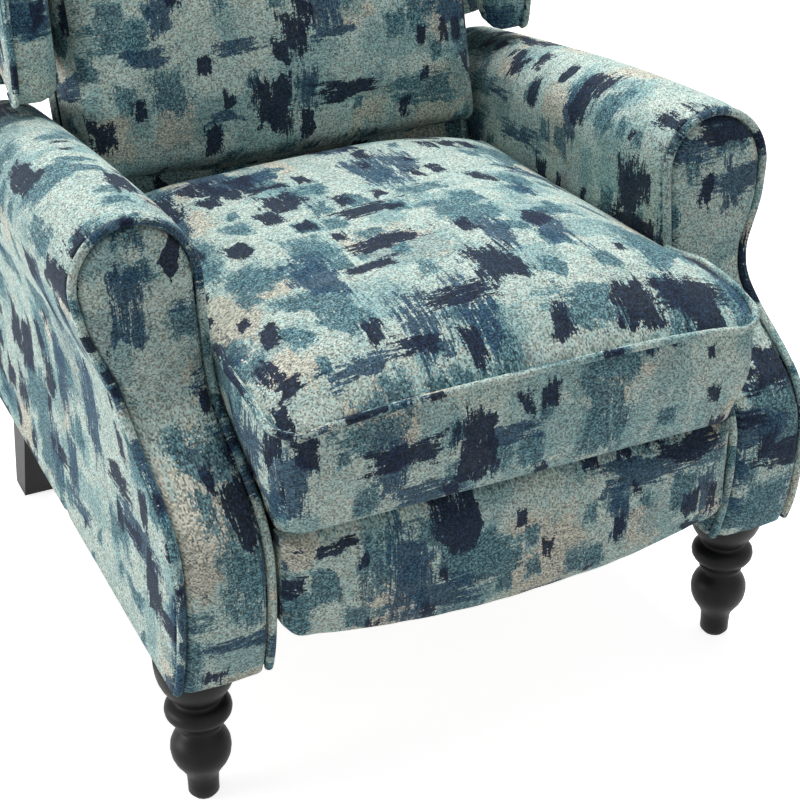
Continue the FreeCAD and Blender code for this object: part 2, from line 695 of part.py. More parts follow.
def back_cushion():
    # crowned front through arcs, narrower foot between the arms
    y1 = POST_FRONT - 4.8
    h = CUSHION_HALF
    z0 = 88.0
    z1 = BACK_TOP - TOP_BAND - GAP
    side = spline([V(0, -84.0, z0), V(0, -106.0, 93.0), V(0, -119.0, 108.0), V(0, -130.0, 140.0), V(0, -137.0, 190.0),
                   V(0, -142.0, 300.0), V(0, -140.0, 430.0), V(0, -131.0, 560.0), V(0, -110.0, z1 - 42.0),
                   V(0, -68.0, z1)])
    tail = z0 - 28.0
    edges = facets(side, 14) + [
        Part.makeLine(V(0, -68.0, z1), V(0, y1, z1)), Part.makeLine(V(0, y1, z1), V(0, y1, tail)),
        Part.makeLine(V(0, y1, tail), V(0, -58.0, tail)), Part.makeLine(V(0, -58.0, tail), V(0, -64.0, z0 - 4.0)),
        Part.makeLine(V(0, -64.0, z0 - 4.0), V(0, -84.0, z0))]
    a = prism_x(edges, -320.0, 320.0)
    front = spline([V(-h, -86.0, 0), V(-h + 3.0, -102.0, 0), V(-h + 22.0, -119.0, 0), V(-140.0, -134.0, 0), V(0, -143.0, 0),
                    V(140.0, -134.0, 0), V(h - 22.0, -119.0, 0), V(h - 3.0, -102.0, 0), V(h, -86.0, 0)])
    edges = facets(front, 14) + [Part.makeLine(V(h, -86.0, 0), V(h - 2.0, y1, 0)),
             Part.makeLine(V(h - 2.0, y1, 0), V(-h + 2.0, y1, 0)), Part.makeLine(V(-h + 2.0, y1, 0), V(-h, -86.0, 0))]
    b = Part.Face(Part.Wire(edges)).extrude(V(0, 0, 900))
    ze = top_arc_z(h + 2.0) - TOP_BAND - GAP
    top = Part.Arc(V(-h - 2, 0, ze), V(0, 0, z1), V(h + 2, 0, ze))
    edges = facets(top, 10) + [
        Part.makeLine(V(h + 2, 0, ze), V(h + 2, 0, tail)), Part.makeLine(V(h + 2, 0, tail), V(-h - 2, 0, tail)),
        Part.makeLine(V(-h - 2, 0, tail), V(-h - 2, 0, ze))]
    c = Part.Face(Part.Wire(edges)).extrude(V(0, -300, 0))
    return solid_of(a.common(b).common(c))


def top_arc_z(x):
    # height of the arched top at a distance x from the middle
    rise = 40.0
    r = (WING_OUT * WING_OUT + rise * rise) / (2.0 * rise)
    return BACK_TOP - r + math.sqrt(r * r - x * x)


WING_FRONT = [(-119.0, 224.0), (-132.0, 282.0), (-146.0, 360.0), (-152.0, 440.0), (-145.0, 520.0), (-126.0, 600.0),
              (-98.0, 650.0)]
WING_TIP = (-99.0, 188.0)
WING_LOW = [(POST_BACK, 262.0), (-66.0, 226.0), (-84.0, 205.0)]


WING_TOP = BACK_TOP - 40.0 - TOP_BAND - 2.0


def wing_front_curve(x, inset):
    i = inset
    pts = [V(x, WING_TIP[0] + i, WING_TIP[1] + i)] + [V(x, y + i, z) for y, z in WING_FRONT]
    return spline(pts + [V(x, -50.0 + i, WING_TOP - i)])


def wing_edges(x, inset):
    i = inset
    front = wing_front_curve(x, i)
    low = [V(x, WING_LOW[0][0] - i, WING_LOW[0][1] + i)] + [V(x, y, z + 1.2 * i) for y, z in WING_LOW[1:]]
    return facets(front, 14) + [
        Part.makeLine(V(x, -50.0 + i, WING_TOP - i), V(x, POST_BACK - i, WING_TOP - i)),
        Part.makeLine(V(x, POST_BACK - i, WING_TOP - i), low[0]), Part.makeLine(low[0], low[1]),
        Part.makeLine(low[1], low[2]), Part.makeLine(low[2], V(x, WING_TIP[0] + i, WING_TIP[1] + i))]


def wing():
    body = prism_x(wing_edges(0.0, 0.0), WING_IN - 14.0, WING_OUT)
    body = body.cut(wing_frame())
    # inner side of the wing closes to the back cushion and the post
    top = WING_TOP - 4.0
    body = body.fuse([box(CUSHION_HALF + 1.0, WING_IN - 14.0, -60.0, POST_BACK, 250.0, top),
                      box(POST_X1, CUSHION_HALF + 2.0, POST_FRONT, POST_BACK, 250.0, top)])
    return solid_of(body.removeSplitter())


def wing_frame():
    return prism_x(wing_edges(0.0, 14.0), WING_IN, WING_IN + 15.0)


def wing_welt():
    r = 4.0
    x = WING_OUT - r
    c = wing_front_curve(x, 0.0)
    pts = []
    n = 22
    for i in range(n + 1):
        u = c.FirstParameter + (c.LastParameter - c.FirstParameter) * i / n
        p = c.value(u)
        t = c.tangent(u)[0]
        d = math.hypot(t.y, t.z)
        pts.append(V(x, p.y - (r + GAP) * t.z / d, p.z + (r + GAP) * t.y / d))
    return tube(pts, r - 0.2)


def outside_back():
    # upholstered rear panel, wrapped over the top rail and round the posts
    z0 = -20.0
    y0 = POST_BACK + GAP
    h = WING_OUT
    n = CUSHION_HALF + 0.5
    m = SEAT_PLATE_IN - 0.8
    ze = BACK_TOP - 40.0
    top = Part.Arc(V(-h, y0, ze), V(0, y0, BACK_TOP), V(h, y0, ze))
    edges = [Part.makeLine(V(-h, y0, 250.0), V(-h, y0, ze))] + facets(top, 14) + [
             Part.makeLine(V(h, y0, ze), V(h, y0, 250.0)), Part.makeLine(V(h, y0, 250.0), V(n, y0, 250.0)),
             Part.makeLine(V(n, y0, 250.0), V(n, y0, 45.0)), Part.makeLine(V(n, y0, 45.0), V(m, y0, 45.0)),
             Part.makeLine(V(m, y0, 45.0), V(m, y0, z0)), Part.makeLine(V(m, y0, z0), V(-m, y0, z0)),
             Part.makeLine(V(-m, y0, z0), V(-m, y0, 45.0)), Part.makeLine(V(-m, y0, 45.0), V(-n, y0, 45.0)),
             Part.makeLine(V(-n, y0, 45.0), V(-n, y0, 250.0)), Part.makeLine(V(-n, y0, 250.0), V(-h, y0, 250.0))]
    panel = Part.Face(Part.Wire(edges)).extrude(V(0, BACK_T, 0))
    y1 = -46.0
    low = Part.Arc(V(h, y1, ze - TOP_BAND), V(0, y1, BACK_TOP - TOP_BAND), V(-h, y1, ze - TOP_BAND))
    high = Part.Arc(V(-h, y1, ze), V(0, y1, BACK_TOP), V(h, y1, ze))
    edges = facets(high, 14) + [Part.makeLine(V(h, y1, ze), V(h, y1, ze - TOP_BAND))] + facets(low, 14) + [
             Part.makeLine(V(-h, y1, ze - TOP_BAND), V(-h, y1, ze))]
    band = Part.Face(Part.Wire(edges)).extrude(V(0, y0 - y1 + 1.0, 0))
    skin = box(n - SKIN_T, n, POST_FRONT - 4.0, y0 + 1.0, 45.0, 249.0)
    s = panel.fuse([band, skin, mirror(skin)])
    return solid_of(s.removeSplitter())


def build():
    os.makedirs("parts", exist_ok=True)
    arm = build_arm()
    panel = build_arm_panel()
    welt = build_arm_welt()
    pairs = [
        ("arm", arm), ("arm_panel", panel), ("arm_welt", welt), ("side_frame", side_frame()),
        ("scroll_board", scroll_board()), ("base_plate", base_plate()),
        ("seat_plate", seat_plate()), ("front_swing_link", swing_links(True)),
        ("rear_swing_link", swing_links(False)), ("footrest_link_a", ottoman_link_a()),
        ("footrest_link_b", ottoman_link_b()), ("footrest_bracket", footrest_bracket()),
        ("back_post", lean_back(back_post())), ("back_bracket", lean_back(back_bracket())),
        ("wing", lean_back(wing())), ("wing_frame", lean_back(wing_frame())), ("wing_welt", lean_back(wing_welt()))]
    for name, shape in pairs:
        save(name + "_right", shape)
        save(name + "_left", mirror(shape))
    save("front_leg_right", front_leg(1))
    save("front_leg_left", front_leg(-1))
    save("rear_leg_right", rear_leg(1))
    save("rear_leg_left", rear_leg(-1))
    save("leg_blocks", leg_blocks())
    save("hanger_bolts", hanger_bolts())
    save("floor_glides", floor_glides())
    save("swing_cross_tube", swing_cross_tube())
    save("front_stretcher", cross_rail(120.0 + 90.0, 120.0 + 110.0, 174.0, 196.0))
    save("rear_rail", cross_rail(600.0, 620.0, 174.0, 300.0))
    save("rear_apron", rear_apron())
    save("seat_rail_right", box(SEAT_PLATE_IN - RAIL_T, SEAT_PLATE_IN, SEAT_RAIL_Y0, SEAT_RAIL_Y1, RAIL_Z0, RAIL_Z1))
    save("seat_rail_left", box(-SEAT_PLATE_IN, -SEAT_PLATE_IN + RAIL_T, SEAT_RAIL_Y0, SEAT_RAIL_Y1, RAIL_Z0, RAIL_Z1))
    inner = SEAT_PLATE_IN - RAIL_T
    save("seat_rail_front", box(-inner, inner, SEAT_RAIL_Y0, SEAT_RAIL_Y0 + RAIL_T, RAIL_Z0, RAIL_Z1))
    save("seat_rail_rear", box(-inner, inner, SEAT_RAIL_Y1 - RAIL_T, SEAT_RAIL_Y1, RAIL_Z0, RAIL_Z1))
    save("seat_springs", seat_springs())
    save("seat_cushion", seat_cushion())
    save("seat_welt", seat_welt())
    top, mid, low = back_rails()
    save("back_rail_top", lean_back(top))
    save("back_rail_mid", lean_back(mid))
    save("back_rail_low", lean_back(low))
    save("back_springs", lean_back(back_springs()))
    save("back_cushion", lean_back(back_cushion()))
    save("outside_back", lean_back(outside_back()))
    save("footrest_pad", footrest_pad())
    save("footrest_board", footrest_board())


build()
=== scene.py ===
import bpy
import bmesh
import json
import math
import numpy as np
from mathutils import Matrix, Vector, noise


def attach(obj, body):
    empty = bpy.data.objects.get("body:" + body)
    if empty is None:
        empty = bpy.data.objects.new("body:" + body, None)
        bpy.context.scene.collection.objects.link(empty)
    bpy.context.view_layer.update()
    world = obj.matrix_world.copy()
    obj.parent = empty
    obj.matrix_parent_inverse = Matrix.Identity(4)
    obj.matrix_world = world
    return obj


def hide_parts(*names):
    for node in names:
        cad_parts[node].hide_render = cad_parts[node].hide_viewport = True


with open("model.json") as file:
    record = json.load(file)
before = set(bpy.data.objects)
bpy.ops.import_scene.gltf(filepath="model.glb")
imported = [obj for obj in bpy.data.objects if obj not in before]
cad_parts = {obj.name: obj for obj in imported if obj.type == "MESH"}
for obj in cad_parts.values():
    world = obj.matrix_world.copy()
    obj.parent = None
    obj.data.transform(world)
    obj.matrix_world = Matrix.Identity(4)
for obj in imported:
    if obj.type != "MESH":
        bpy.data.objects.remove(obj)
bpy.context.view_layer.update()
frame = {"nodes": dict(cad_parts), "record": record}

NODES = frame["nodes"]

# Sizes in mm, in the chair's working frame
HEM_Z, ARM_IN, SCROLL_R, SCROLL_Z = 170.0, 239.0, 61.5, 512.0
SCROLL_X = ARM_IN + SCROLL_R
WAIST_X, HEM_OUT = 331.0, 336.0
ARM_REAR_Y, REAR_R, REAR_TOP = 640.0, 50.0, 513.0
PANEL_T, WELT_R = 10.0, 4.5
HINGE_Y, HINGE_Z, LEAN = 560.0, 332.0, math.radians(18.0)
BACK_TOP, WING_OUT, TOP_BAND = 722.0, 302.0, 8.0
BACK_HALF, TAIL_HALF, SKIRT_TOP = 236.3, 234.0, 205.0
SEAT_FRONT_LOW, APRON_HALF = 327.0, 238.4
Y_MID = (-40.0 + HINGE_Y + 24.3 * math.cos(LEAN) + BACK_TOP * math.sin(LEAN)) / 2.0


def rf(p):
    """Working frame in mm to the row frame in metres."""
    p = np.asarray(p, float)
    return (p - np.array([0.0, Y_MID, 0.0])) / 1000.0


def leaned(p):
    """Upright back frame in mm to the working frame."""
    p = np.asarray(p, float)
    c, s = math.cos(LEAN), math.sin(LEAN)
    y = p[..., 1] * c + p[..., 2] * s + HINGE_Y
    z = -p[..., 1] * s + p[..., 2] * c + HINGE_Z
    return np.stack([p[..., 0], y, z], -1)


def interp(xs, ys, x):
    """Smooth curve through points, x rising."""
    xs, ys = np.asarray(xs, float), np.asarray(ys, float)
    m = np.gradient(ys, xs)
    x = np.clip(x, xs[0], xs[-1])
    i = np.clip(np.searchsorted(xs, x) - 1, 0, len(xs) - 2)
    h = xs[i + 1] - xs[i]
    t = (x - xs[i]) / h
    return ((2 * t**3 - 3 * t**2 + 1) * ys[i] + (t**3 - 2 * t**2 + t) * h * m[i]
            + (-2 * t**3 + 3 * t**2) * ys[i + 1] + (t**3 - t**2) * h * m[i + 1])


def smooth(x):
    x = np.clip(x, 0, 1)
    return x * x * (3 - 2 * x)


def noise_at(p, scale, seed=0.0):
    """Signed smooth noise at points in mm, scale in mm."""
    flat = np.asarray(p, float).reshape(-1, 3) / scale + seed
    return np.array([noise.noise(Vector(q)) for q in flat]).reshape(np.asarray(p).shape[:-1])


S_Z = [170, 190, 230, 275, 310, 336, 357, 377, 398, 425, 455, 490, 530, 580]
S_Y = [3, -4, -11.5, -14, -9, 9, 40, 76, 104, 119, 125, 130, 136, 143]


def s_y(z):
    return interp(S_Z, S_Y, z)


# Meshes
def make(name, patches, mat, body, replaces=(), leaned_frame=False, mirror=False):
    """One mesh from grids of points (mm) with cloth coordinates (m) at their corners."""
    bm = bmesh.new()
    layer = bm.loops.layers.uv.new("cloth")
    for pts, uv in patches:
        pts = np.asarray(pts, float)
        if leaned_frame:
            pts = leaned(pts)
        pts = rf(pts)
        if mirror:
            pts = pts * np.array([-1.0, 1.0, 1.0])
        nu, nv = pts.shape[:2]
        vs = [[bm.verts.new(pts[i, j]) for j in range(nv)] for i in range(nu)]
        for i in range(nu - 1):
            for j in range(nv - 1):
                quad = [(i, j), (i + 1, j), (i + 1, j + 1), (i, j + 1)]
                f = bm.faces.new([vs[a][b] for a, b in quad])
                for loop, (a, b) in zip(f.loops, quad):
                    loop[layer].uv = uv[a][b]
    bmesh.ops.remove_doubles(bm, verts=bm.verts, dist=2e-5)
    bmesh.ops.dissolve_degenerate(bm, dist=1e-6, edges=bm.edges)
    bmesh.ops.recalc_face_normals(bm, faces=bm.faces)
    for f in bm.faces:
        f.smooth = True
    me = bpy.data.meshes.new(name)
    bm.to_mesh(me)
    bm.free()
    ob = bpy.data.objects.new(name, me)
    bpy.context.scene.collection.objects.link(ob)
    me.materials.append(mat)
    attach(ob, body)
    for n in replaces:
        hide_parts(n)
    return ob


def apply_mods(ob):
    dg = bpy.context.evaluated_depsgraph_get()
    me = bpy.data.meshes.new_from_object(ob.evaluated_get(dg), preserve_all_data_layers=True, depsgraph=dg)
    ob.modifiers.clear()
    old = ob.data
    ob.data = me
    bpy.data.meshes.remove(old)


def sub(ob, levels):
    m = ob.modifiers.new("sub", "SUBSURF")
    m.levels = m.render_levels = levels
    apply_mods(ob)


def arc_uv(pts, du=0.0, dv=0.0, swap=False):
    """Cloth coordinates of a grid from its own lengths: U down the first axis, V along the second."""
    pts = np.asarray(pts, float)
    a = np.zeros(pts.shape[:2])
    b = np.zeros(pts.shape[:2])
    a[1:] = np.cumsum(np.linalg.norm(np.diff(pts, axis=0), axis=-1), 0)
    b[:, 1:] = np.cumsum(np.linalg.norm(np.diff(pts, axis=1), axis=-1), 1)
    a = a.mean(1, keepdims=True) + 0 * a
    uv = np.stack([b, a] if swap else [a, b], -1) / 1000.0
    return uv + np.array([du, dv])


def plane_uv(pts, i, j, du=0.0, dv=0.0):
    """Cloth coordinates of a grid from two of its axes."""
    pts = np.asarray(pts, float)
    return np.stack([pts[..., i], pts[..., j]], -1) / 1000.0 + np.array([du, dv])


def tube(points, r, sides, du, dv):
    """Grid round a cord through points in mm, closed at its ends."""
    p = np.asarray(points, float)
    t = np.gradient(p, axis=0)
    t /= np.linalg.norm(t, axis=1)[:, None]
    up = np.array([0.0, 0.0, 1.0]) if abs(t[0][2]) < 0.8 else np.array([0.0, 1.0, 0.0])
    rows = []
    for k in range(len(p)):
        up = up - t[k] * up.dot(t[k])
        up /= np.linalg.norm(up)
        side = np.cross(t[k], up)
        a = np.linspace(0, 2 * math.pi, sides + 1)
        rows.append(p[k] + r * (np.cos(a)[:, None] * up + np.sin(a)[:, None] * side))
    rows.insert(0, np.repeat(p[:1], sides + 1, 0))
    rows.append(np.repeat(p[-1:], sides + 1, 0))
    g = np.array(rows)
    return g, arc_uv(g, du, dv)


def resample(points, step):
    """Smooth line through points, cut into even steps."""
    p = np.asarray(points, float)
    d = np.r_[0, np.cumsum(np.linalg.norm(np.diff(p, axis=0), axis=1))]
    n = max(2, int(d[-1] / step))
    s = np.linspace(0, d[-1], n)
    return np.stack([interp(d, p[:, i], s) for i in range(3)], -1)


# Materials
class Tree:
    """A material's node tree, with short ways to add its nodes."""

    def __init__(self, name):
        self.mat = bpy.data.materials.new(name)
        self.mat.use_nodes = True
        self.t = self.mat.node_tree
        self.bsdf = self.t.nodes["Principled BSDF"]

    def node(self, kind, **kw):
        n = self.t.nodes.new(kind)
        for k, v in kw.items():
            setattr(n, k, v)
        return n

    def put(self, socket, v):
        if isinstance(v, bpy.types.NodeSocket):
            self.t.links.new(v, socket)
        elif v is not None:
            socket.default_value = v

    def math(self, op, a, b=None, c=None, clamp=False):
        n = self.node("ShaderNodeMath", operation=op, use_clamp=clamp)
        for i, v in enumerate((a, b, c)):
            if v is not None:
                self.put(n.inputs[i], v)
        return n.outputs[0]

    def mul(self, a, b):
        return self.math("MULTIPLY", a, b)

    def add(self, a, b):
        return self.math("ADD", a, b)

    def less(self, a, b):
        return self.math("SUBTRACT", a, b)

    def split(self, socket):
        n = self.node("ShaderNodeSeparateXYZ")
        self.put(n.inputs[0], socket)
        return n.outputs

    def vec(self, x, y, z=0.0):
        n = self.node("ShaderNodeCombineXYZ")
        for i, v in enumerate((x, y, z)):
            self.put(n.inputs[i], v)
        return n.outputs[0]

    def noise(self, vec, scale=1.0, detail=2.0, rough=0.5, dims="2D", color=False):
        n = self.node("ShaderNodeTexNoise", noise_dimensions=dims)
        self.put(n.inputs["Vector"], vec)
        n.inputs["Scale"].default_value = scale
        n.inputs["Detail"].default_value = detail
        n.inputs["Roughness"].default_value = rough
        return n.outputs["Color" if color else "Fac"]

    def step(self, v, lo, hi):
        n = self.node("ShaderNodeMapRange", interpolation_type="SMOOTHSTEP", clamp=True)
        self.put(n.inputs["Value"], v)
        self.put(n.inputs["From Min"], lo)
        self.put(n.inputs["From Max"], hi)
        return n.outputs["Result"]

    def mix(self, fac, a, b):
        n = self.node("ShaderNodeMix", data_type="RGBA")
        self.put(n.inputs[0], fac)
        self.put(n.inputs[6], a)
        self.put(n.inputs[7], b)
        return n.outputs[2]

    def bump(self, height, strength, distance, normal=None):
        n = self.node("ShaderNodeBump")
        self.put(n.inputs["Height"], height)
        n.inputs["Strength"].default_value = strength
        n.inputs["Distance"].default_value = distance
        if normal is not None:
            self.put(n.inputs["Normal"], normal)
        return n.outputs[0]


def srgb(r, g, b):
    def f(c):
        c /= 255.0
        return c / 12.92 if c <= 0.04045 else ((c + 0.055) / 1.055) ** 2.4
    return (f(r), f(g), f(b), 1.0)


def cloth_material(name):
    """Woven cloth with a generic print of blocks and dry-brush marks set square to the weave."""
    m = Tree(name)
    uvn = m.node("ShaderNodeUVMap", uv_map="cloth")
    u, v = m.split(uvn.outputs[0])[:2]
    mul, add, less = m.mul, m.add, m.less
    # one random tone for each crossing of the yarns, 1.5 mm by 1.2 mm
    yarn = m.node("ShaderNodeTexWhiteNoise", noise_dimensions="2D")
    m.put(yarn.inputs["Vector"], m.vec(m.math("FLOOR", mul(u, 680)), m.math("FLOOR", mul(v, 830))))
    speck = yarn.outputs["Value"]
    hue = m.split(yarn.outputs["Color"])
    # wander of the edges, and the bristles of the brush along both ways of the weave
    wander = m.split(m.noise(m.vec(mul(u, 34), mul(v, 34)), 1.0, 5.0, 0.68, color=True))
    pulls = (m.noise(m.vec(mul(u, 24), mul(v, 230)), 1.0, 3.0, 0.75),
             m.noise(m.vec(mul(u, 230), mul(v, 24)), 1.0, 3.0, 0.75))

    def marks(w, h, ox, oy, keep, size, upright, rough, run, grain, turn=0, soft=0.035):
        """Mask of blocks in cells of w by h metres with ragged edges, broken up along the stroke."""
        wander_x, wander_y, ragged = (wander[(turn + i) % 3] for i in range(3))
        x = add(add(m.math("DIVIDE", u, w), ox), mul(less(wander_x, 0.5), 0.5))
        y = add(add(m.math("DIVIDE", v, h), oy), mul(less(wander_y, 0.5), 0.5))
        vor = m.node("ShaderNodeTexVoronoi", voronoi_dimensions="2D", distance="CHEBYCHEV")
        m.put(vor.inputs["Vector"], m.vec(x, y))
        vor.inputs["Scale"].default_value = 1.0
        vor.inputs["Randomness"].default_value = 0.9
        chance = m.split(vor.outputs["Color"])
        radius = add(mul(chance[0], size * 0.65), size * 0.35)
        body = m.math("MINIMUM", less(1.0, m.math("DIVIDE", vor.outputs["Distance"], radius)), 0.5)
        edge = add(body, mul(less(ragged, 0.5), rough))
        bristle = add(mul(less(pulls[upright], 0.5), run), mul(less(speck, 0.5), grain))
        inside = less(add(edge, bristle), mul(chance[2], 0.25))
        return mul(m.step(inside, -soft, soft), m.math("LESS_THAN", chance[1], keep))

    def most(*masks):
        out = masks[0]
        for k in masks[1:]:
            out = m.math("MAXIMUM", out, k)
        return out

    base = m.mix(m.step(wander[1], 0.42, 0.58), srgb(190, 207, 199), srgb(172, 197, 191))
    base = m.mix(mul(m.step(hue[0], 0.72, 0.95), 0.5), base, srgb(226, 228, 216))
    base = m.mix(mul(m.step(hue[1], 0.78, 0.98), 0.5), base, srgb(206, 192, 178))
    base = m.mix(mul(m.step(hue[2], 0.80, 0.95), 0.5), base, srgb(104, 144, 150))
    sand = m.mix(speck, srgb(214, 202, 184), srgb(180, 182, 168))
    col = m.mix(mul(marks(0.075, 0.10, 3.3, 7.7, 0.40, 0.56, 1, 0.9, 0.9, 0.3, 0), 0.75), base, sand)
    pale = most(marks(0.10, 0.055, 13.1, 2.9, 0.42, 0.56, 0, 0.9, 1.3, 0.5, 1),
                marks(0.05, 0.085, 23.9, 12.3, 0.40, 0.56, 1, 0.9, 1.3, 0.5, 2))
    col = m.mix(mul(pale, 0.62), col, m.mix(speck, srgb(96, 142, 150), srgb(138, 176, 178)))
    # grainy teal blocks
    teal_in = m.step(speck, 0.2, 0.8)
    teal = most(marks(0.07, 0.10, 21.7, 5.3, 0.34, 0.54, 1, 1.1, 1.2, 0.45, 1),
                marks(0.10, 0.055, 8.9, 31.1, 0.30, 0.52, 0, 1.1, 1.3, 0.45, 2),
                marks(0.032, 0.045, 47.1, 11.9, 0.26, 0.52, 1, 1.3, 1.1, 0.45, 0))
    col = m.mix(mul(teal, 0.92), col, m.mix(teal_in, srgb(26, 66, 84), srgb(104, 146, 154)))
    # steel-blue brush marks
    blue = most(marks(0.05, 0.11, 41.3, 17.9, 0.20, 0.5, 1, 1.2, 2.0, 0.4, 2),
                marks(0.11, 0.04, 27.5, 45.1, 0.18, 0.48, 0, 1.2, 2.0, 0.4, 0))
    col = m.mix(mul(blue, 0.92), col, m.mix(teal_in, srgb(22, 50, 76), srgb(58, 94, 118)))
    # navy marks
    navy = most(marks(0.055, 0.08, 61.7, 3.1, 0.16, 0.5, 1, 1.3, 1.5, 0.3, 0),
                marks(0.11, 0.04, 5.7, 71.9, 0.15, 0.48, 0, 1.3, 1.6, 0.3, 1),
                marks(0.026, 0.042, 83.3, 59.3, 0.18, 0.5, 1, 1.5, 1.3, 0.35, 2))
    col = m.mix(mul(navy, 0.97), col, m.mix(teal_in, srgb(11, 20, 38), srgb(30, 48, 74)))
    # thin broken lines along both ways of the weave
    for across, along, shift in ((u, v, 0.0), (v, u, 9.0)):
        wave = mul(less(wander[1], 0.5), 0.9)
        cell = m.math("FRACT", add(add(mul(across, 14.0), wave), shift))
        thin = m.step(m.math("ABSOLUTE", less(cell, 0.5)), 0.028, 0.008)
        broken = m.noise(m.vec(add(mul(across, 16), shift), mul(along, 13)), 1.0, 3.0, 0.75)
        gate = m.step(add(broken, mul(less(speck, 0.5), 0.25)), 0.60, 0.68)
        col = m.mix(mul(mul(thin, gate), 0.85), col, srgb(44, 66, 88))
    # yarn to yarn lightness
    n = m.node("ShaderNodeHueSaturation")
    m.put(n.inputs["Value"], add(mul(hue[2], 1.3), 0.36))
    m.put(n.inputs["Color"], col)
    m.put(m.bsdf.inputs["Base Color"], n.outputs[0])
    rows = m.math("SINE", mul(v, 2 * math.pi * 620))
    cols = m.math("SINE", mul(u, 2 * math.pi * 520))
    weave = add(mul(mul(rows, cols), 0.35), mul(speck, 0.5))
    m.put(m.bsdf.inputs["Normal"], m.bump(weave, 0.6, 0.0006))
    m.bsdf.inputs["Roughness"].default_value = 0.88
    m.bsdf.inputs["Sheen Weight"].default_value = 0.05
    m.bsdf.inputs["Sheen Roughness"].default_value = 0.45
    m.bsdf.inputs["Specular IOR Level"].default_value = 0.25
    return m.mat


def object_coords(m):
    return m.node("ShaderNodeTexCoord").outputs["Object"]


def paint_material(name, colour, rough):
    m = Tree(name)
    co = object_coords(m)
    big = m.noise(co, 35.0, 3.0, 0.6, "3D")
    fine = m.noise(co, 420.0, 3.0, 0.6, "3D")
    light = tuple(min(1, x * 1.6 + 0.002) for x in colour[:3]) + (1,)
    c = m.mix(m.step(big, 0.3, 0.7), colour, light)
    m.put(m.bsdf.inputs["Base Color"], c)
    m.put(m.bsdf.inputs["Roughness"], m.math("ADD", m.math("MULTIPLY", fine, 0.16), rough))
    m.put(m.bsdf.inputs["Normal"], m.bump(fine, 0.25, 0.0004))
    m.bsdf.inputs["Coat Weight"].default_value = 0.03
    m.bsdf.inputs["Specular IOR Level"].default_value = 0.17
    m.bsdf.inputs["Coat Roughness"].default_value = 0.35
    return m.mat


def wood_material(name):
    m = Tree(name)
    co = object_coords(m)
    mp = m.node("ShaderNodeMapping")
    m.put(mp.inputs["Vector"], co)
    mp.inputs["Scale"].default_value = (12, 1.6, 12)
    ring = m.noise(mp.outputs[0], 6.0, 5.0, 0.6, "3D")
    fine = m.noise(mp.outputs[0], 60.0, 3.0, 0.6, "3D")
    c = m.mix(m.step(ring, 0.35, 0.65), srgb(178, 142, 98), srgb(206, 176, 132))
    c = m.mix(m.step(fine, 0.55, 0.75), c, srgb(150, 114, 74))
    m.put(m.bsdf.inputs["Base Color"], c)
    m.bsdf.inputs["Roughness"].default_value = 0.62
    m.put(m.bsdf.inputs["Normal"], m.bump(fine, 0.3, 0.0004))
    return m.mat


def metal_material(name, colour, rough, metallic=1.0):
    m = Tree(name)
    co = object_coords(m)
    fine = m.noise(co, 260.0, 4.0, 0.6, "3D")
    big = m.noise(co, 25.0, 3.0, 0.6, "3D")
    light = tuple(x * 1.5 for x in colour[:3]) + (1,)
    m.put(m.bsdf.inputs["Base Color"], m.mix(m.step(big, 0.3, 0.7), colour, light))
    m.bsdf.inputs["Metallic"].default_value = metallic
    m.put(m.bsdf.inputs["Roughness"], m.math("ADD", m.math("MULTIPLY", fine, 0.2), rough))
    m.put(m.bsdf.inputs["Normal"], m.bump(fine, 0.15, 0.0003))
    return m.mat


CLOTH = cloth_material("cloth_print")
MATS = {
    "upholstery": CLOTH, "welt": CLOTH, "frame_wood": wood_material("pale_wood"),
    "leg_wood": paint_material("leg_paint", (0.0042, 0.0042, 0.0044, 1), 0.38),
    "steel_black": metal_material("black_steel", (0.02, 0.02, 0.022, 1), 0.42, 0.6),
    "spring_steel": metal_material("spring_steel", (0.35, 0.35, 0.36, 1), 0.32),
    "glide_plastic": paint_material("glide_plastic", (0.02, 0.02, 0.02, 1), 0.5)}
slots = {s["node"]: s["material_slot"] for s in frame["record"]["subparts"]}
for name, ob in NODES.items():
    ob.data.materials.clear()
    ob.data.materials.append(MATS[slots[name]])


# Arms
N_SIDE, N_ARC = 30, 25


def outline(y, inset=0.0):
    """Arm outline (x, z) at depth y, from the inner hem over the roll to the outer hem."""
    k = (max(0.0, y - 130.0) / (ARM_REAR_Y - 130.0)) ** 1.45
    r = SCROLL_R + (REAR_R - SCROLL_R) * k - inset
    xc = SCROLL_X + (ARM_IN + REAR_R - SCROLL_X) * k
    zc = SCROLL_Z + (REAR_TOP - REAR_R - SCROLL_Z) * k
    waist = WAIST_X + 4.0 * k
    a = np.linspace(math.pi, 0, N_ARC)
    drop = zc - HEM_Z
    xi, xo = xc - r, xc + r
    t = np.linspace(0, 1, N_SIDE)
    inner = np.stack([xi + 0 * t, HEM_Z + (zc - HEM_Z) * t], -1)
    arc = np.stack([xc + r * np.cos(a), zc + r * np.sin(a)], -1)
    zs = [0, 0.34 * drop, 0.58 * drop, 0.74 * drop, 0.90 * drop, drop]
    xs = [HEM_OUT - inset, waist - inset + 0.8, waist - inset, waist - inset + 6.0]
    xs += [xo - 0.20 * (xo - waist), xo]
    zz = drop * (1 - t)
    outer = np.stack([interp(zs, xs, zz), HEM_Z + zz], -1)
    return np.concatenate([inner, arc[1:-1], outer])


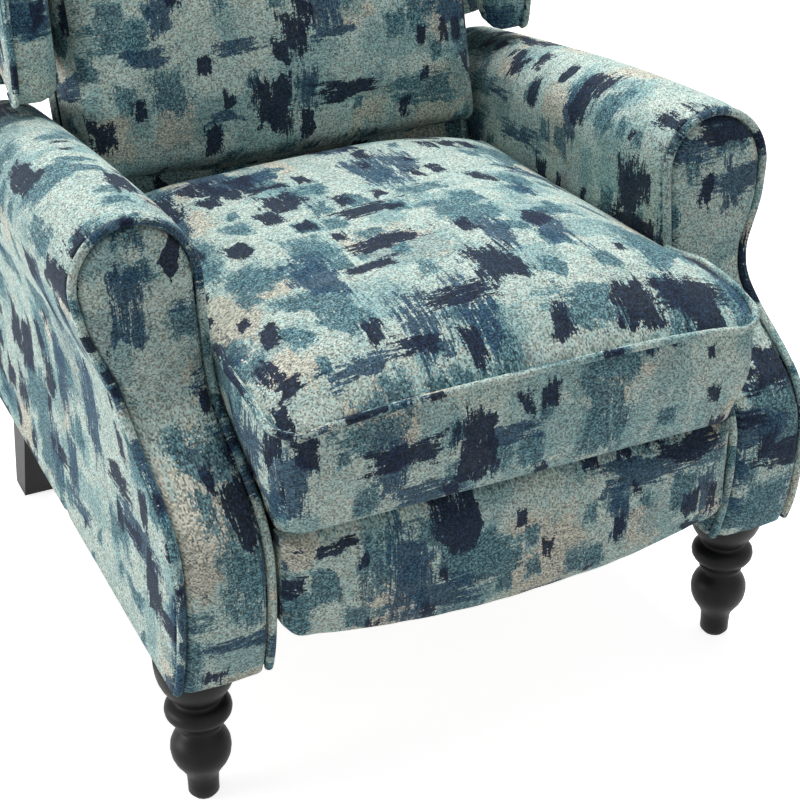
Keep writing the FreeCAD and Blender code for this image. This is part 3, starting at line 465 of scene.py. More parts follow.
def arm_grid():
    """Rows of the arm's cover from front to rear, with gathers behind its cord and a seam across its outside."""
    base = outline(0.0)
    yf = s_y(base[:, 1]) + PANEL_T
    ts = [0.0, 0.004, 0.010, 0.020, 0.034, 0.052, 0.075]
    ts += list(np.linspace(0.10, 0.50, 17)) + [0.525, 0.532, 0.5355, 0.539, 0.546, 0.56]
    ts += list(np.linspace(0.59, 0.97, 14))
    rows = []
    lengths = np.r_[0, np.cumsum(np.linalg.norm(np.diff(base, axis=0), axis=1))]

    def row(y, inset):
        out = np.zeros((len(base), 3))
        for i, yy in enumerate(y):
            p = outline(yy)[i]
            out[i] = (p[0], yy, p[1])
        d = np.gradient(out[:, [0, 2]], axis=0)
        d /= np.linalg.norm(d, axis=1)[:, None]
        out[:, 0] += d[:, 1] * inset
        out[:, 2] -= d[:, 0] * inset
        return out

    rows.append(row(yf, 11.0))
    rows.append(row(yf, 3.0))
    rows.append(row(yf + 0.5, 1.0))
    for t in ts:
        y = yf + 2.5 + t * (ARM_REAR_Y - 6 - yf - 2.5)
        g = row(y, 0.0)
        fade = np.exp(-(y - yf) / 34.0)
        pucker = np.sin(lengths / 9.5 + 2.4 * noise_at(g, 60.0, 3.1)) * 0.45 * fade * smooth((y - yf) / 12)
        soft = noise_at(g, 130.0, 9.0) * 1.3 * smooth((y - yf) / 60) + pucker
        seam = 1.5 * np.exp(-((y - 340.0) / 2.2) ** 2) * (np.arange(len(base)) > N_SIDE + N_ARC - 6)
        low = smooth((g[:, 2] - HEM_Z) / 20)
        d = np.gradient(g[:, [0, 2]], axis=0)
        d /= np.linalg.norm(d, axis=1)[:, None]
        roll = 1.6 * np.exp(-((lengths - lengths[N_SIDE + N_ARC // 2]) / 90.0) ** 2) * smooth((y - yf) / 25)
        off = soft * low - seam + roll
        below = np.arange(len(base)) < N_SIDE
        off = np.where(below & (g[:, 2] < 500), np.minimum(off, 0.2), off)
        g[:, 0] -= d[:, 1] * off
        g[:, 2] += d[:, 0] * off
        rows.append(g)
    rows.append(row(np.full(len(base), ARM_REAR_Y - 3.0), 0.8))
    rows.append(row(np.full(len(base), ARM_REAR_Y - 0.8), 2.8))
    rows.append(row(np.full(len(base), ARM_REAR_Y), 6.0))
    g = np.array(rows)
    # the inner face steps back to the wooden side where the mechanism stands
    inner = np.arange(len(base)) < N_SIDE
    step = smooth((331 - g[..., 2]) / 8) * smooth((g[..., 1] - 62) / 10) * inner
    g[..., 0] += 7.6 * step
    return g, lengths


def cap(loop, m=7):
    """Grid that closes a loop, point to point across it."""
    n = len(loop)
    half = (n + 1) // 2
    f = np.linspace(0, 1, m)[:, None]
    return np.array([loop[i] * (1 - f) + loop[n - 1 - i] * f for i in range(half)])


def build_arm(side, mirror, du):
    """Cover of the arm, closed behind and below."""
    g, lengths = arm_grid()
    v = np.broadcast_to(lengths / 1000.0, g.shape[:2])
    uv = np.stack([g[..., 1] / 1000.0 + du, v + du * 0.7], -1)
    rear = cap(g[-1])
    bottom = np.array([g[:, 0] * (1 - f) + g[:, -1] * f for f in np.linspace(0, 1, 6)])
    patches = [(g, uv), (rear, plane_uv(rear, 0, 2, du)), (bottom, plane_uv(bottom, 0, 1, du))]
    make("arm_cover_" + side, patches, CLOTH, "base", ["arm_" + side], mirror=mirror)


def build_panel(side, mirror, du):
    """Front panel of the arm: a thin pad that follows the swept face, rolled over at its edge."""
    inset = 2 * WELT_R + 0.4
    r = SCROLL_R - inset
    o = outline(0.0, inset)
    outer = o[N_SIDE + N_ARC - 2:][::-1]
    zs = np.r_[np.linspace(HEM_Z, SCROLL_Z, 60), SCROLL_Z + r * np.sin(np.linspace(0.06, math.pi / 2, 14))]
    xl, xr = [], []
    for z in zs:
        if z <= SCROLL_Z:
            xl.append(SCROLL_X - r)
            xr.append(float(np.interp(z, outer[:, 1], outer[:, 0])))
        else:
            w = math.sqrt(max(0.0, r * r - (z - SCROLL_Z) ** 2))
            xl.append(SCROLL_X - w)
            xr.append(SCROLL_X + w)
    xl, xr = np.array(xl), np.array(xr)
    u = 0.5 - 0.5 * np.cos(np.linspace(0, math.pi, 19))
    front, back = [], []
    for i, z in enumerate(zs):
        x = xl[i] + (xr[i] - xl[i]) * u
        d = np.minimum(x - xl[i], xr[i] - x)
        if z > SCROLL_Z:
            d = np.minimum(d, r - np.hypot(x - SCROLL_X, z - SCROLL_Z))
        d = np.clip(d, 0, None)
        roll = np.sqrt(np.clip(1 - (1 - np.clip(d / 9.0, 0, 1)) ** 2, 0, 1))
        crown = 2.2 * smooth(d / 42.0)
        q = np.stack([x, 0 * x, 0 * x + z], -1)
        soft = noise_at(q, 70.0, 4.0 + du) * 0.8
        y = s_y(z) + (PANEL_T - 0.4) * (1 - roll) - crown + soft * smooth(d / 15.0)
        front.append(np.stack([x, y, 0 * x + z], -1))
        back.append(np.stack([x, 0 * x + s_y(z) + PANEL_T - 0.4, 0 * x + z], -1))
    front, back = np.array(front), np.array(back)
    low = np.array([front[0], back[0]])
    patches = [(front, plane_uv(front, 0, 2, du, 0.3)), (back, plane_uv(back, 0, 2, du))]
    patches.append((low, plane_uv(low, 0, 1, du)))
    make("arm_front_" + side, patches, CLOTH, "base", ["arm_panel_" + side], mirror=mirror)


def build_arm_welt(side, mirror, du):
    """Cord round the swept front of the arm."""
    o = outline(0.0, WELT_R)
    z = o[:, 1]
    slope = (s_y(z + 1) - s_y(z - 1)) / 2
    slope[z < HEM_Z + 2] = 0
    n = np.hypot(1, slope)
    off = WELT_R + 0.3
    pts = np.stack([o[:, 0], s_y(z) + PANEL_T - off / n, z + off * slope / n], -1)
    pts = resample(pts, 7.0)
    pts[0, 2] = pts[-1, 2] = HEM_Z + 0.3
    g, uv = tube(pts, WELT_R - 0.2, 12, du, 0.9)
    make("arm_cord_" + side, [(g, uv)], CLOTH, "base", ["arm_welt_" + side], mirror=mirror)


for side, flip, du in (("right", False, 0.13), ("left", True, 1.71)):
    build_arm(side, flip, du)
    build_panel(side, flip, du + 2.3)
    build_arm_welt(side, flip, du + 4.1)


# Padded boxes
def box_pad(name, us, vs, ws, place, body, replaces, uv_shift, lean=False):
    """Closed pad on the six sides of a box of parameters; place gives the point of (u, v, w)."""
    us, vs, ws = (np.asarray(a, float) for a in (us, vs, ws))
    sides = []
    for w, tag in ((ws[-1], 0), (ws[0], 1)):
        sides.append((np.array([[place(u, v, w) for v in vs] for u in us]), (0, 1), tag))
    for v, tag in ((vs[0], 2), (vs[-1], 3)):
        sides.append((np.array([[place(u, v, w) for w in ws] for u in us]), (0, 2), tag))
    for u, tag in ((us[0], 4), (us[-1], 5)):
        sides.append((np.array([[place(u, v, w) for w in ws] for v in vs]), (1, 2), tag))
    patches = []
    for g, axes, tag in sides:
        uv = plane_uv(g, axes[0], axes[1], uv_shift + 0.37 * tag, 0.21 * tag)
        patches.append((g, uv))
    return make(name, patches, CLOTH, body, replaces, leaned_frame=lean)


INFLATE_FRAMES = 16


def inflate(ob, pinned, pressure, cap_mm):
    """Cloth with pressure inside, held where pinned is true; the move of each point is capped."""
    co = np.array([v.co for v in ob.data.vertices])
    group = ob.vertex_groups.new(name="pin")
    group.add([int(i) for i in np.nonzero(pinned)[0]], 1.0, "REPLACE")
    mod = ob.modifiers.new("cloth", "CLOTH")
    s = mod.settings
    s.quality = 6
    s.mass = 0.3
    s.tension_stiffness = s.compression_stiffness = 12.0
    s.shear_stiffness = 4.0
    s.bending_stiffness = 0.6
    s.use_pressure = True
    s.uniform_pressure_force = pressure
    s.effector_weights.gravity = 0.0
    s.vertex_group_mass = "pin"
    mod.collision_settings.use_collision = False
    mod.point_cache.frame_start = 1
    mod.point_cache.frame_end = INFLATE_FRAMES
    scene = bpy.context.scene
    for f in range(1, INFLATE_FRAMES + 1):
        scene.frame_set(f)
    dg = bpy.context.evaluated_depsgraph_get()
    me = ob.evaluated_get(dg).data
    new = np.array([v.co for v in me.vertices])
    ob.modifiers.clear()
    ob.vertex_groups.clear()
    scene.frame_set(1)
    d = new - co
    n = np.linalg.norm(d, axis=1)
    k = np.where(n > cap_mm / 1000.0, cap_mm / 1000.0 / np.maximum(n, 1e-9), 1.0)
    out = co + d * k[:, None]
    for v, p in zip(ob.data.vertices, out):
        v.co = p
    ob.data.update()


def verts_mm(ob):
    """Points of an object in the working frame, in mm."""
    co = np.array([v.co for v in ob.data.vertices])
    return co * 1000.0 + np.array([0.0, Y_MID, 0.0])


def set_mm(ob, p):
    """Moves the points of an object to places in the working frame, in mm."""
    q = rf(p)
    for v, c in zip(ob.data.vertices, q):
        v.co = c
    ob.data.update()


# Seat
SEAT_A, SEAT_Y0, SEAT_Y1, SEAT_R = 237.2, -29.5, 505.0, 30.0


def seat_plan(u, v):
    """Place on the seat's plan, with its two front corners rounded."""
    x = SEAT_A * u
    y = SEAT_Y0 + (v + 1) / 2 * (SEAT_Y1 - SEAT_Y0)
    dx = (abs(x) - (SEAT_A - SEAT_R)) / SEAT_R
    dy = (SEAT_Y0 + SEAT_R - y) / SEAT_R
    if dx > 0 and dy > 0:
        ex = dx * math.sqrt(1 - dy * dy / 2)
        ey = dy * math.sqrt(1 - dx * dx / 2)
        x = math.copysign(SEAT_A - SEAT_R + ex * SEAT_R, x)
        y = SEAT_Y0 + SEAT_R - ey * SEAT_R
    return x, y


def seat_top(x, y):
    """Height of the cushion's top, which crowns between its edges."""
    side = float(interp([-32, -10, 15, 60, 110, 200, 350, 505], [432, 437, 443, 446, 446, 441, 431, 424], y))
    front = float(interp([0, 90, 150, 195, 215, 250], [438.5, 438, 436.5, 432.0, 428, 424], abs(x)))
    edge = side + (front - 432.0) * math.exp(-(y - SEAT_Y0) / 26.0)
    dx = SEAT_A - abs(x)
    dy = max(0.0, y - SEAT_Y0)
    dr = max(0.0, SEAT_Y1 - y)
    crown = (1 - math.exp(-dx / 52.0)) * (1 - math.exp(-dy / 34.0)) * (1 - math.exp(-dr / 26.0))
    return edge + 47.0 * crown


def seat_bulge(x, y, z):
    """The cushion swells sideways where the swept fronts of the arms leave it free."""
    free = smooth((s_y(z) - 8 - y) / 45) * smooth((z - 330) / 55)
    return np.copysign(np.where(np.asarray(x) > 0, 13.0, 6.0) * free * smooth((np.abs(x) - 150) / 87), x)


def seat_place(u, v, w):
    """Point of the cushion's skin for u across, v from front to rear and w upward."""
    x, y = seat_plan(u, v)
    top = seat_top(x, y)
    if y < -3.0:
        low = SEAT_FRONT_LOW
    elif abs(u) > 0.999 or v < -0.999:
        low = SEAT_FRONT_LOW + 20.0 * float(smooth((y - 10) / 16)) if y < 112 else 381.5
    else:
        low = 381.5
    t = (w + 1) / 2
    z = low + (top - low) * t
    on_front = smooth((-y - 4) / 20.0)
    bulge = 5.0 * (1 - w * w) - 5.0 * (1 - t) ** 3
    y -= bulge * on_front
    if abs(u) > 0.999:
        x += math.copysign(0.8 * (1 - w * w), x)
    return (x + float(seat_bulge(x, y, z)), y, z)


vs = np.r_[-1, -1 + 2 * np.array([6, 13, 20, 25.2, 27.2]) / (SEAT_Y1 - SEAT_Y0), np.linspace(-0.86, 1, 54)]
us = np.r_[-1, np.linspace(-0.97, 0.97, 58), 1]
seat = box_pad("seat_pad", us, vs, np.linspace(-1, 1, 15), seat_place, "seat", ["seat_cushion"], 5.2)
rest = verts_mm(seat)
on_top_edge = np.zeros(len(rest), bool)
border = []
for v in vs[::-1]:
    border.append(seat_place(-1, v, 1))
for u in us[1:]:
    border.append(seat_place(u, -1, 1))
for v in vs[1:]:
    border.append(seat_place(1, v, 1))
border = np.array(border)
for p in border:
    j = int(np.argmin(((rest - p) ** 2).sum(1)))
    on_top_edge[j] = True
pinned = on_top_edge | (rest[:, 2] < SEAT_FRONT_LOW + 1) | (rest[:, 1] > SEAT_Y1 - 2)
pinned |= (rest[:, 2] < 382.5) & (rest[:, 1] > -8)
inflate(seat, pinned, 3.5, 14.0)
p = verts_mm(seat)
soft = noise_at(rest, 150.0, 2.0) * 3.0 + noise_at(rest, 55.0, 7.0) * 1.2
p[:, 2] += np.where(pinned, 0.0, soft * smooth((p[:, 2] - 440) / 14))
half_width = np.abs(seat_bulge(np.sign(p[:, 0]) * 240.0, p[:, 1], p[:, 2])) * 1.25 + 238.3
p[:, 0] = np.clip(p[:, 0], -half_width, half_width)
set_mm(seat, p)
sub(seat, 1)

path = border[(border[:, 1] < 128)]
path = resample(path, 9.0)
out = np.gradient(path, axis=0)
out /= np.linalg.norm(out, axis=1)[:, None]
nrm = np.stack([out[:, 1], -out[:, 0], 0 * out[:, 0]], -1)
front_w = smooth((10 - path[:, 1]) / 30)
path = path + nrm * (0.6 + 2.2 * front_w)[:, None] + np.array([0, 0, 0.8])
half_width = np.abs(seat_bulge(np.sign(path[:, 0]) * 240.0, path[:, 1], path[:, 2])) * 1.2 + 236.6
path[:, 0] = np.clip(path[:, 0], -half_width, half_width)
g, uv = tube(path, 4.0, 12, 7.7, 0.4)
make("seat_cord", [(g, uv)], CLOTH, "seat", ["seat_welt"])


# Footrest front
def foot_place(u, v, w):
    """Point of the footrest's front cover, whose lower edge sweeps up to its ends."""
    a = 235.5
    x = a * u
    ax = abs(x)
    low = float(interp([0, 60, 124, 168, 205, 226, a], [183, 185, 191, 199, 207, 214, 226], ax))
    top = 321.0
    t = (w + 1) / 2
    z = low + (top - low) * t
    d = min(a - ax, top - z, z - low)
    if v < -0.999:
        roll = math.sqrt(max(0.0, 1 - (1 - min(1, max(0.0, d) / 14.0)) ** 2))
        y = -20.0 + 9.0 * (1 - roll) - 1.0 * smooth(d / 60.0)
    else:
        y = -11.0 + (v + 1) / 2 * 17.0
    return (x, y, z)


e = np.array([0, 0.012, 0.03, 0.055, 0.09])
us = np.r_[-1 + e, np.linspace(-0.87, 0.87, 48), 1 - e[::-1]]
ws = np.r_[-1 + e * 3, np.linspace(-0.62, 0.62, 10), 1 - e[::-1] * 3]
foot = box_pad("footrest_cover", us, [-1, -0.3, 0.4, 1], ws, foot_place, "footrest", ["footrest_pad"], 9.4)
rest = verts_mm(foot)
inflate(foot, (rest[:, 1] > -10.5), 2.0, 6.0)
p = verts_mm(foot)
p[:, 1] += np.where(rest[:, 1] < -13, noise_at(rest, 90.0, 5.0) * 1.6, 0)
p[:, 0] = np.clip(p[:, 0], -236.4, 236.4)
set_mm(foot, p)
sub(foot, 1)


# Back, wings and rear covers
TOP_SAG = 40.0
TOP_RAD = (WING_OUT**2 + TOP_SAG**2) / (2 * TOP_SAG)


def top_z(x):
    """Height of the arched top of the back in its own frame."""
    return BACK_TOP - TOP_RAD + np.sqrt(TOP_RAD**2 - np.asarray(x, float) ** 2)


BACK_Z = [88, 93, 108, 140, 190, 300, 430, 560, 640, 680, 713]
BACK_D = [58, 80, 94, 105, 112, 117, 115, 106, 94, 78, 50]


def back_place(u, v, w):
    """Point of the back cushion's skin in the back's own frame."""
    a = 235.8
    x = a * u
    hi = float(top_z(x)) - TOP_BAND - 0.6
    t = (w + 1) / 2
    z = 88.0 + (hi - 88.0) * t
    depth = float(interp(BACK_Z, BACK_D, 88.0 + (713.0 - 88.0) * t))
    dx = a - abs(x)
    prof = 1 - 0.09 * (x / a) ** 2 - 0.24 * math.exp(-dx / 9.0)
    f = depth * prof
    y = -18.9 - f * (1 - (v + 1) / 2)
    if v > -0.999 and abs(u) > 0.999:
        bow = 1 - v * v
        x = math.copysign(min(a, a - 3.0 + 3.0 * bow), x)
    return (x, y, z)


e = np.array([0, 0.01, 0.025, 0.05, 0.085])
us = np.r_[-1 + e, np.linspace(-0.87, 0.87, 50), 1 - e[::-1]]
ws = np.r_[-1, -0.985, -0.965, -0.935, np.linspace(-0.90, 0.90, 62), 0.93, 0.955, 0.975, 0.99, 1]
vs = np.linspace(-1, 1, 11)
back = box_pad("back_pad", us, vs, ws, back_place, "back", ["back_cushion"], 12.6, lean=True)


def to_local(p):
    """Working frame to the back's own upright frame, in mm."""
    c, s = math.cos(LEAN), math.sin(LEAN)
    dy, dz = p[:, 1] - HINGE_Y, p[:, 2] - HINGE_Z
    return np.stack([p[:, 0], dy * c - dz * s, dy * s + dz * c], -1)


rest = verts_mm(back)
loc = to_local(rest)
inflate(back, loc[:, 1] > -19.5, 3.0, 10.0)
p = verts_mm(back)
q = to_local(p)
front_side = smooth((-loc[:, 1] - 40) / 40)
q[:, 1] -= front_side * (noise_at(loc, 170.0, 1.0) * 4.0 + noise_at(loc, 60.0, 8.0) * 1.2)
q[:, 0] = np.clip(q[:, 0], -236.2, 236.2)
q[:, 2] = np.minimum(q[:, 2], top_z(np.clip(q[:, 0], -320, 320)) - TOP_BAND - 0.5)
q[:, 2] = np.maximum(q[:, 2], 86.0)
set_mm(back, leaned(q))
sub(back, 1)


def build_back_tail():
    """Flap of the cushion's cover that goes down behind the seat."""
    def place(u, v, w):
        x = 233.0 * u
        z = 61.0 + 34.0 * (w + 1) / 2
        d = min(233.0 - abs(x), z - 61.0)
        roll = math.sqrt(max(0.0, 1 - (1 - min(1, d / 7.0)) ** 2))
        return (x, -51.0 - 8.0 * roll if v < 0 else -19.5, z)
    ws = [-1, -0.96, -0.88, -0.74, -0.5, 0, 1]
    us = np.r_[-1, -0.995, -0.985, np.linspace(-0.96, 0.96, 20), 0.985, 0.995, 1]
    box_pad("back_pad_flap", us, [-1, 1], ws, place, "back", [], 12.6, lean=True)


build_back_tail()

WING_IN_X = 250.0
WING_EDGE = [
    (11.5, 300), (11.5, 240), (8, 236.6), (-30, 230.5), (-62, 226), (-70, 221), (-82, 208), (-91, 197),
    (-95, 191), (-98, 189.2), (-101, 190), (-104, 194), (-109, 204), (-118, 224), (-131, 282), (-145, 360),
    (-151, 440), (-144, 520), (-125, 600), (-100, 647), (-84, 662), (-60, 669), (-30, 671), (4, 671.5),
    (11.5, 668), (11.5, 480)]


def wing_loop():
    """Closed side outline of the wing, even steps, with its outward normals and inner points."""
    p = np.array(WING_EDGE + WING_EDGE[:1], float)
    d = np.r_[0, np.cumsum(np.linalg.norm(np.diff(p, axis=0), axis=1))]
    t = np.linspace(0, d[-1], 181)
    q = np.stack([np.interp(t, d, p[:, 0]), np.interp(t, d, p[:, 1])], -1)[:-1]
    for _ in range(3):
        q = 0.25 * np.roll(q, 1, 0) + 0.5 * q + 0.25 * np.roll(q, -1, 0)
    tan = np.roll(q, -1, 0) - np.roll(q, 1, 0)
    tan /= np.linalg.norm(tan, axis=1)[:, None]
    nrm = np.stack([-tan[:, 1], tan[:, 0]], -1)
    mid = np.stack([-58.0 + 0 * q[:, 1], np.clip(q[:, 1], 285, 620)], -1)
    if np.sum((q - mid) * nrm) < 0:
        nrm = -nrm
    return q, nrm, mid, t[:-1]


def build_wing(side, mirror, du):
    """Cover of the wing: outer face, rolled edge, padded inner face and the block that joins the back."""
    q, nrm, mid, arc = wing_loop()
    x0, x1 = WING_IN_X, WING_OUT - 0.6
    rows, uvs = [], []
    rear = smooth((q[:, 0] + 40) / 40)

    def ring(x, inset, f, v):
        p = q - nrm * inset[:, None]
        p = p + (mid - p) * f
        g = np.stack([np.full(len(p), x) if np.isscalar(x) else x, p[:, 0], p[:, 1]], -1)
        rows.append(np.vstack([g, g[:1]]))
        if v is None:
            uvs.append(np.vstack([g, g[:1]])[:, 1:] / 1000.0 + np.array([du + (1.1 if x_in else 0.0), 0.4]))
        else:
            along = np.r_[arc, arc[-1] + 5] / 1000.0
            uvs.append(np.stack([np.full(len(p) + 1, v / 1000.0 + du + 0.2), along], -1))

    x_in = False
    for f in (1.0, 0.75, 0.5, 0.28, 0.12, 0.03):
        ring(x1 + 0.4 * (1 - f), np.full(len(q), 9.0), f, None)
    outer = len(rows)
    for a in np.linspace(0, math.pi / 2, 6):
        ring(x1 - 7 + 7 * math.cos(a), 7.0 * (1 - math.sin(a)) * (1 - 0.6 * rear) + 0 * arc, 0, -7 * a)
    for x in np.linspace(x1 - 10, x0 + 21, 4):
        c = (x - x0) / (x1 - x0)
        n3 = np.stack([np.full(len(q), x), q[:, 0], q[:, 1]], -1)
        swell = -2.0 * math.sin(math.pi * c) * (1 - rear) + noise_at(n3, 70.0, du) * 0.9 * (1 - rear)
        ring(x, swell, 0, x - x1)
    for a in np.linspace(0, math.pi / 2, 8)[1:]:
        inset = 19.0 * (1 - math.cos(a)) * (1 - 0.7 * rear) + 0 * arc
        ring(x0 + 19 - 19 * math.sin(a), inset, 0, x0 - x1 + 19 - 19 * a)
    inner = len(rows)
    x_in = True
    for f in (0.05, 0.14, 0.27, 0.42, 0.58, 0.75, 0.9, 1.0):
        p = q - nrm * 19.0
        p = p + (mid - p) * f
        n3 = np.stack([np.full(len(q), x0), p[:, 0], p[:, 1]], -1)
        bulge = 5.0 * math.sin(min(1.0, f / 0.6) * math.pi / 2) + noise_at(n3, 110.0, du + 5) * 1.6
        keep = smooth((-p[:, 0] - 58) / 14)
        ring(x0 - bulge * keep, np.full(len(q), 19.0), f, None)
    g, uv = np.array(rows), np.array(uvs)
    cuts = ((0, outer + 1), (outer, inner), (inner - 1, len(g)))
    parts = [(g[i:j], uv[i:j]) for i, j in cuts]
    parts[0][1][-1] = g[outer, :, 1:] / 1000.0 + np.array([du, 0.4])
    first = g[inner - 1, :, 1:] / 1000.0 + np.array([du + 1.1, 0.4])
    parts[2] = (parts[2][0], np.concatenate([first[None], uv[inner:]]))
    box = []
    za, zb = [250, 300, 380, 460, 540, 610, 655], (250.0, 655.0)
    box.append(np.array([[(237.0, y, z) for y in (11.5, -25, -58.0)] for z in za]))
    box.append(np.array([[(x, -58.0, z) for x in (237.0, 245, 252)] for z in za]))
    box.append(np.array([[(252.0, y, z) for y in (11.5, -25, -58.0)] for z in za]))
    box.append(np.array([[(x, 11.5, z) for x in (237.0, 245, 252)] for z in za]))
    for z in zb:
        box.append(np.array([[(x, y, z) for x in (237.0, 245, 252)] for y in (11.5, -25, -58.0)]))
    fill = [(b, plane_uv(b, 1, 2, du + 3)) for b in box]
    make("wing_cover_" + side, parts + fill, CLOTH, "back", ["wing_" + side], leaned_frame=True,
         mirror=mirror)


def build_wing_welt(side, mirror, du):
    """Cord along the wing's outer front edge."""
    q, nrm, _, _ = wing_loop()
    i0 = int(np.argmin(np.hypot(q[:, 0] + 84, q[:, 1] - 207)))
    i1 = int(np.argmin(np.hypot(q[:, 0] + 70, q[:, 1] - 667)))
    k = np.arange(i0, i1 + 1)
    p = q[k] + nrm[k] * 0.6
    pts = resample(np.stack([np.full(len(k), WING_OUT - 4.4), p[:, 0], p[:, 1]], -1), 6.0)
    g, uv = tube(pts, 3.8, 12, du, 0.2)
    make("wing_cord_" + side, [(g, uv)], CLOTH, "back", ["wing_welt_" + side], leaned_frame=True,
         mirror=mirror)


for side, flip, du in (("right", False, 15.3), ("left", True, 18.9)):
    build_wing(side, flip, du)
    build_wing_welt(side, flip, du + 1.1)


def build_outside_back():
    """Rear cover: wraps over the top rail, down the back and in at the bottom."""
    xs = np.linspace(-1, 1, 61)

    def half(z):
        return BACK_HALF + (WING_OUT - BACK_HALF) * smooth((z - SKIRT_TOP) / 10.0)

    def top_row(y, drop):
        return [(WING_OUT * u, y, float(top_z(WING_OUT * u * 0.9999)) - drop) for u in xs]

    over_top = [(-45.0, 7.8), (-46.0, 4.0), (-43.0, 0.8), (-34.0, 0.0), (-10.0, 0.0), (16.0, 0.2),
                (22.0, 1.6), (24.0, 5.0), (24.3, 12.0)]
    rows = [top_row(y, drop) for y, drop in over_top]
    zs = list(np.linspace(660, 223, 28)) + list(np.linspace(217, 203, 8)) + list(np.linspace(193, -14, 18))
    for z in zs + [-18.5]:
        h = half(z) if z >= 45 else TAIL_HALF
        row = []
        for u in xs:
            x = h * u
            roll = math.sqrt(max(0.0, 1 - (1 - min(1, (h - abs(x)) / 7.0)) ** 2))
            row.append((x, 14.0 + 10.3 * roll + 1.2 * math.sin(x * 0.012 + z * 0.01), z))
        rows.append(row)
    rows.append([(TAIL_HALF * u, 18.0, -20.0) for u in xs])
    rows.append([(TAIL_HALF * u, 12.6, -19.0) for u in xs])
    g = np.array(rows)

    inner = []
    for z in (-19.0, 0, 44, 100, 203, 211, 217, 300, 480, 660):
        h = TAIL_HALF if z <= 45 else BACK_HALF if z < 211 else half(z)
        inner.append([(h * u, 12.6, z) for u in xs])
    inner.append(top_row(12.6, 7.8))
    inner.append(top_row(-45.0, 7.8))
    inner = np.array(inner)
    patches = [(g, arc_uv(g, 21.0, 0.0, swap=True)), (inner, plane_uv(inner, 0, 2, 4.0))]
    for s in (-1, 1):
        for x in (BACK_HALF, BACK_HALF - 1.0):
            skirt = np.array([[(s * x, y, z) for y in (13.0, -2.0, -17.5)] for z in (46, 110, 180, 209)])
            patches.append((skirt, plane_uv(skirt, 1, 2, 3.0)))
    make("back_outer_cover", patches, CLOTH, "back", ["outside_back"], leaned_frame=True)


build_outside_back()


def build_apron():
    """Cover of the board across the rear of the base."""
    z0, z1 = HEM_Z + 0.3, 318.0

    def place(u, v, w):
        x, z = APRON_HALF * u, z0 + (z1 - z0) * (w + 1) / 2
        d = min(APRON_HALF - abs(x), z - z0, z1 - z)
        roll = math.sqrt(max(0.0, 1 - (1 - min(1, d / 5.0)) ** 2))
        y = 620.5 if v < 0 else 625.0 + 5.0 * roll
        return (x, y, z)
    e = np.array([0, 0.008, 0.02, 0.04])
    us = np.r_[-1 + e, np.linspace(-0.9, 0.9, 24), 1 - e[::-1]]
    ws = np.r_[-1 + e * 3, np.linspace(-0.8, 0.8, 8), 1 - e[::-1] * 3]
    box_pad("rear_cover", us, [-1, 1], ws, place, "base", ["rear_apron"], 24.0)


build_apron()


# Front legs
LEG_X, LEG_Y = 297.2, 58.6
LEG_PROFILE = [
    (0, 2.6), (11, 2.6), (14.2, 3.0), (15.2, 4.6), (15.2, 14), (15.6, 24), (17.6, 30), (21.5, 36.5),
    (25.6, 43), (28.4, 50), (29.5, 58.0), (28.9, 65), (26.6, 71), (23.0, 76), (19.8, 79.2), (18.6, 81.4),
    (18.4, 82.6), (20.6, 83.2), (22.2, 84.4), (22.7, 86.4), (22.2, 88.6), (20.8, 90.0), (20.2, 91.2),
    (21.2, 93.0), (25.5, 95.0), (29.6, 98.0), (31.8, 101.6), (32.5, 105.7), (31.8, 109.6), (29.4, 113.0),
    (25.6, 115.4), (22.8, 116.8), (22.2, 118.4), (22.8, 120.2), (25.4, 123.5), (29.6, 129), (33.6, 135.5),
    (36.6, 143), (38.4, 151), (39.3, 160), (39.5, 169.8), (0, 169.8)]


def build_leg(side, s):
    """Turned leg from (radius, height) pairs."""
    a = np.linspace(0, 2 * math.pi, 65)
    x = s * LEG_X
    g = np.array([[(x + r * math.cos(t), LEG_Y + r * math.sin(t), z) for t in a] for r, z in LEG_PROFILE])
    make("turned_leg_" + side, [(g, arc_uv(g))], MATS["leg_wood"], "base", ["front_leg_" + side])


build_leg("right", 1)
build_leg("left", -1)


# Floor, light and camera
def stage_plane(name, size, loc, mat):
    """Square sheet of the room, left out of the part."""
    me = bpy.data.meshes.new(name)
    h = size / 2
    me.from_pydata([(-h, -h, 0), (h, -h, 0), (h, h, 0), (-h, h, 0)], [], [(0, 1, 2, 3)])
    ob = bpy.data.objects.new(name, me)
    ob.location = loc
    bpy.context.scene.collection.objects.link(ob)
    me.materials.append(mat)
    return ob


m = Tree("floor")
lp = m.node("ShaderNodeLightPath")
mirrored = m.math("MAXIMUM", lp.outputs["Is Glossy Ray"], lp.outputs["Is Transmission Ray"])
seen = m.math("MAXIMUM", lp.outputs["Is Camera Ray"], mirrored)
diff = m.node("ShaderNodeBsdfDiffuse")
tone = m.noise(object_coords(m), 3.0, 2.0, 0.5, "3D")
m.put(diff.inputs["Color"], m.mix(tone, (0.80, 0.80, 0.80, 1), (0.83, 0.83, 0.83, 1)))
em = m.node("ShaderNodeEmission")
em.inputs["Strength"].default_value = 0.80
addn = m.node("ShaderNodeAddShader")
m.put(addn.inputs[0], diff.outputs[0])
m.put(addn.inputs[1], em.outputs[0])
mixn = m.node("ShaderNodeMixShader")
m.put(mixn.inputs[0], seen)
m.put(mixn.inputs[1], diff.outputs[0])
m.put(mixn.inputs[2], addn.outputs[0])
m.put(m.t.nodes["Material Output"].inputs["Surface"], mixn.outputs[0])
stage_plane("floor", 30.0, (0, 0, 0), m.mat)

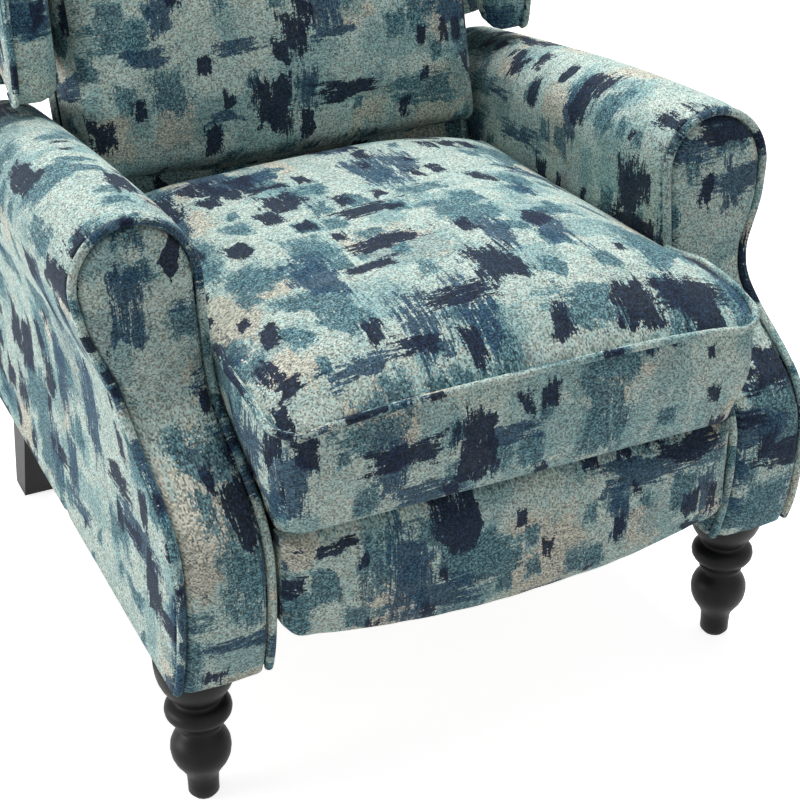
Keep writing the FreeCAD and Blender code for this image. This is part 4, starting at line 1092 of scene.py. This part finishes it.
world = bpy.data.worlds.new("room")
bpy.context.scene.world = world
world.use_nodes = True
nt = world.node_tree
bg = nt.nodes["Background"]
lp = nt.nodes.new("ShaderNodeLightPath")
mx = nt.nodes.new("ShaderNodeMath")
mx.operation = "MAXIMUM"
nt.links.new(lp.outputs["Is Camera Ray"], mx.inputs[0])
nt.links.new(lp.outputs["Is Glossy Ray"], mx.inputs[1])
st = nt.nodes.new("ShaderNodeMapRange")
nt.links.new(mx.outputs[0], st.inputs["Value"])
st.inputs["To Min"].default_value = 0.28
st.inputs["To Max"].default_value = 1.0
nt.links.new(st.outputs[0], bg.inputs["Strength"])
bg.inputs["Color"].default_value = (1, 1, 1, 1)


def area(name, loc, target, size, power):
    """Soft rectangular light aimed at a point."""
    d = bpy.data.lights.new(name, "AREA")
    d.shape = "RECTANGLE"
    d.size, d.size_y = size
    d.energy = power
    ob = bpy.data.objects.new(name, d)
    ob.location = loc
    ob.rotation_euler = (Vector(target) - Vector(loc)).to_track_quat("-Z", "Y").to_euler()
    bpy.context.scene.collection.objects.link(ob)


area("key_top", (0.6, 0.7, 3.0), (0, 0.0, 0.4), (1.7, 1.5), 90)
area("side_left", (-2.6, 0.35, 0.5), (0, 0.1, 0.32), (1.5, 0.8), 34)
area("fill_front", (0.6, -3.2, 1.1), (0, 0, 0.4), (2.4, 1.6), 7)

cam = bpy.data.cameras.new("camera")
cam.sensor_width = 36.0
cam.sensor_fit = "HORIZONTAL"
cam.lens = 80.24
cam.clip_end = 60
camera = bpy.data.objects.new("camera", cam)
az, el, dist = math.radians(25.8), math.radians(29.9), 1869.1
aim = np.array([7.0, 250.0, 263.5])
eye = aim + dist * np.array([-math.sin(az) * math.cos(el), -math.cos(az) * math.cos(el), math.sin(el)])
aim, eye = rf(aim), rf(eye)
camera.location = eye
camera.rotation_euler = (Vector(aim) - Vector(eye)).to_track_quat("-Z", "Y").to_euler()
bpy.context.scene.collection.objects.link(camera)
bpy.context.scene.camera = camera
bpy.context.scene.view_settings.view_transform = "Standard"
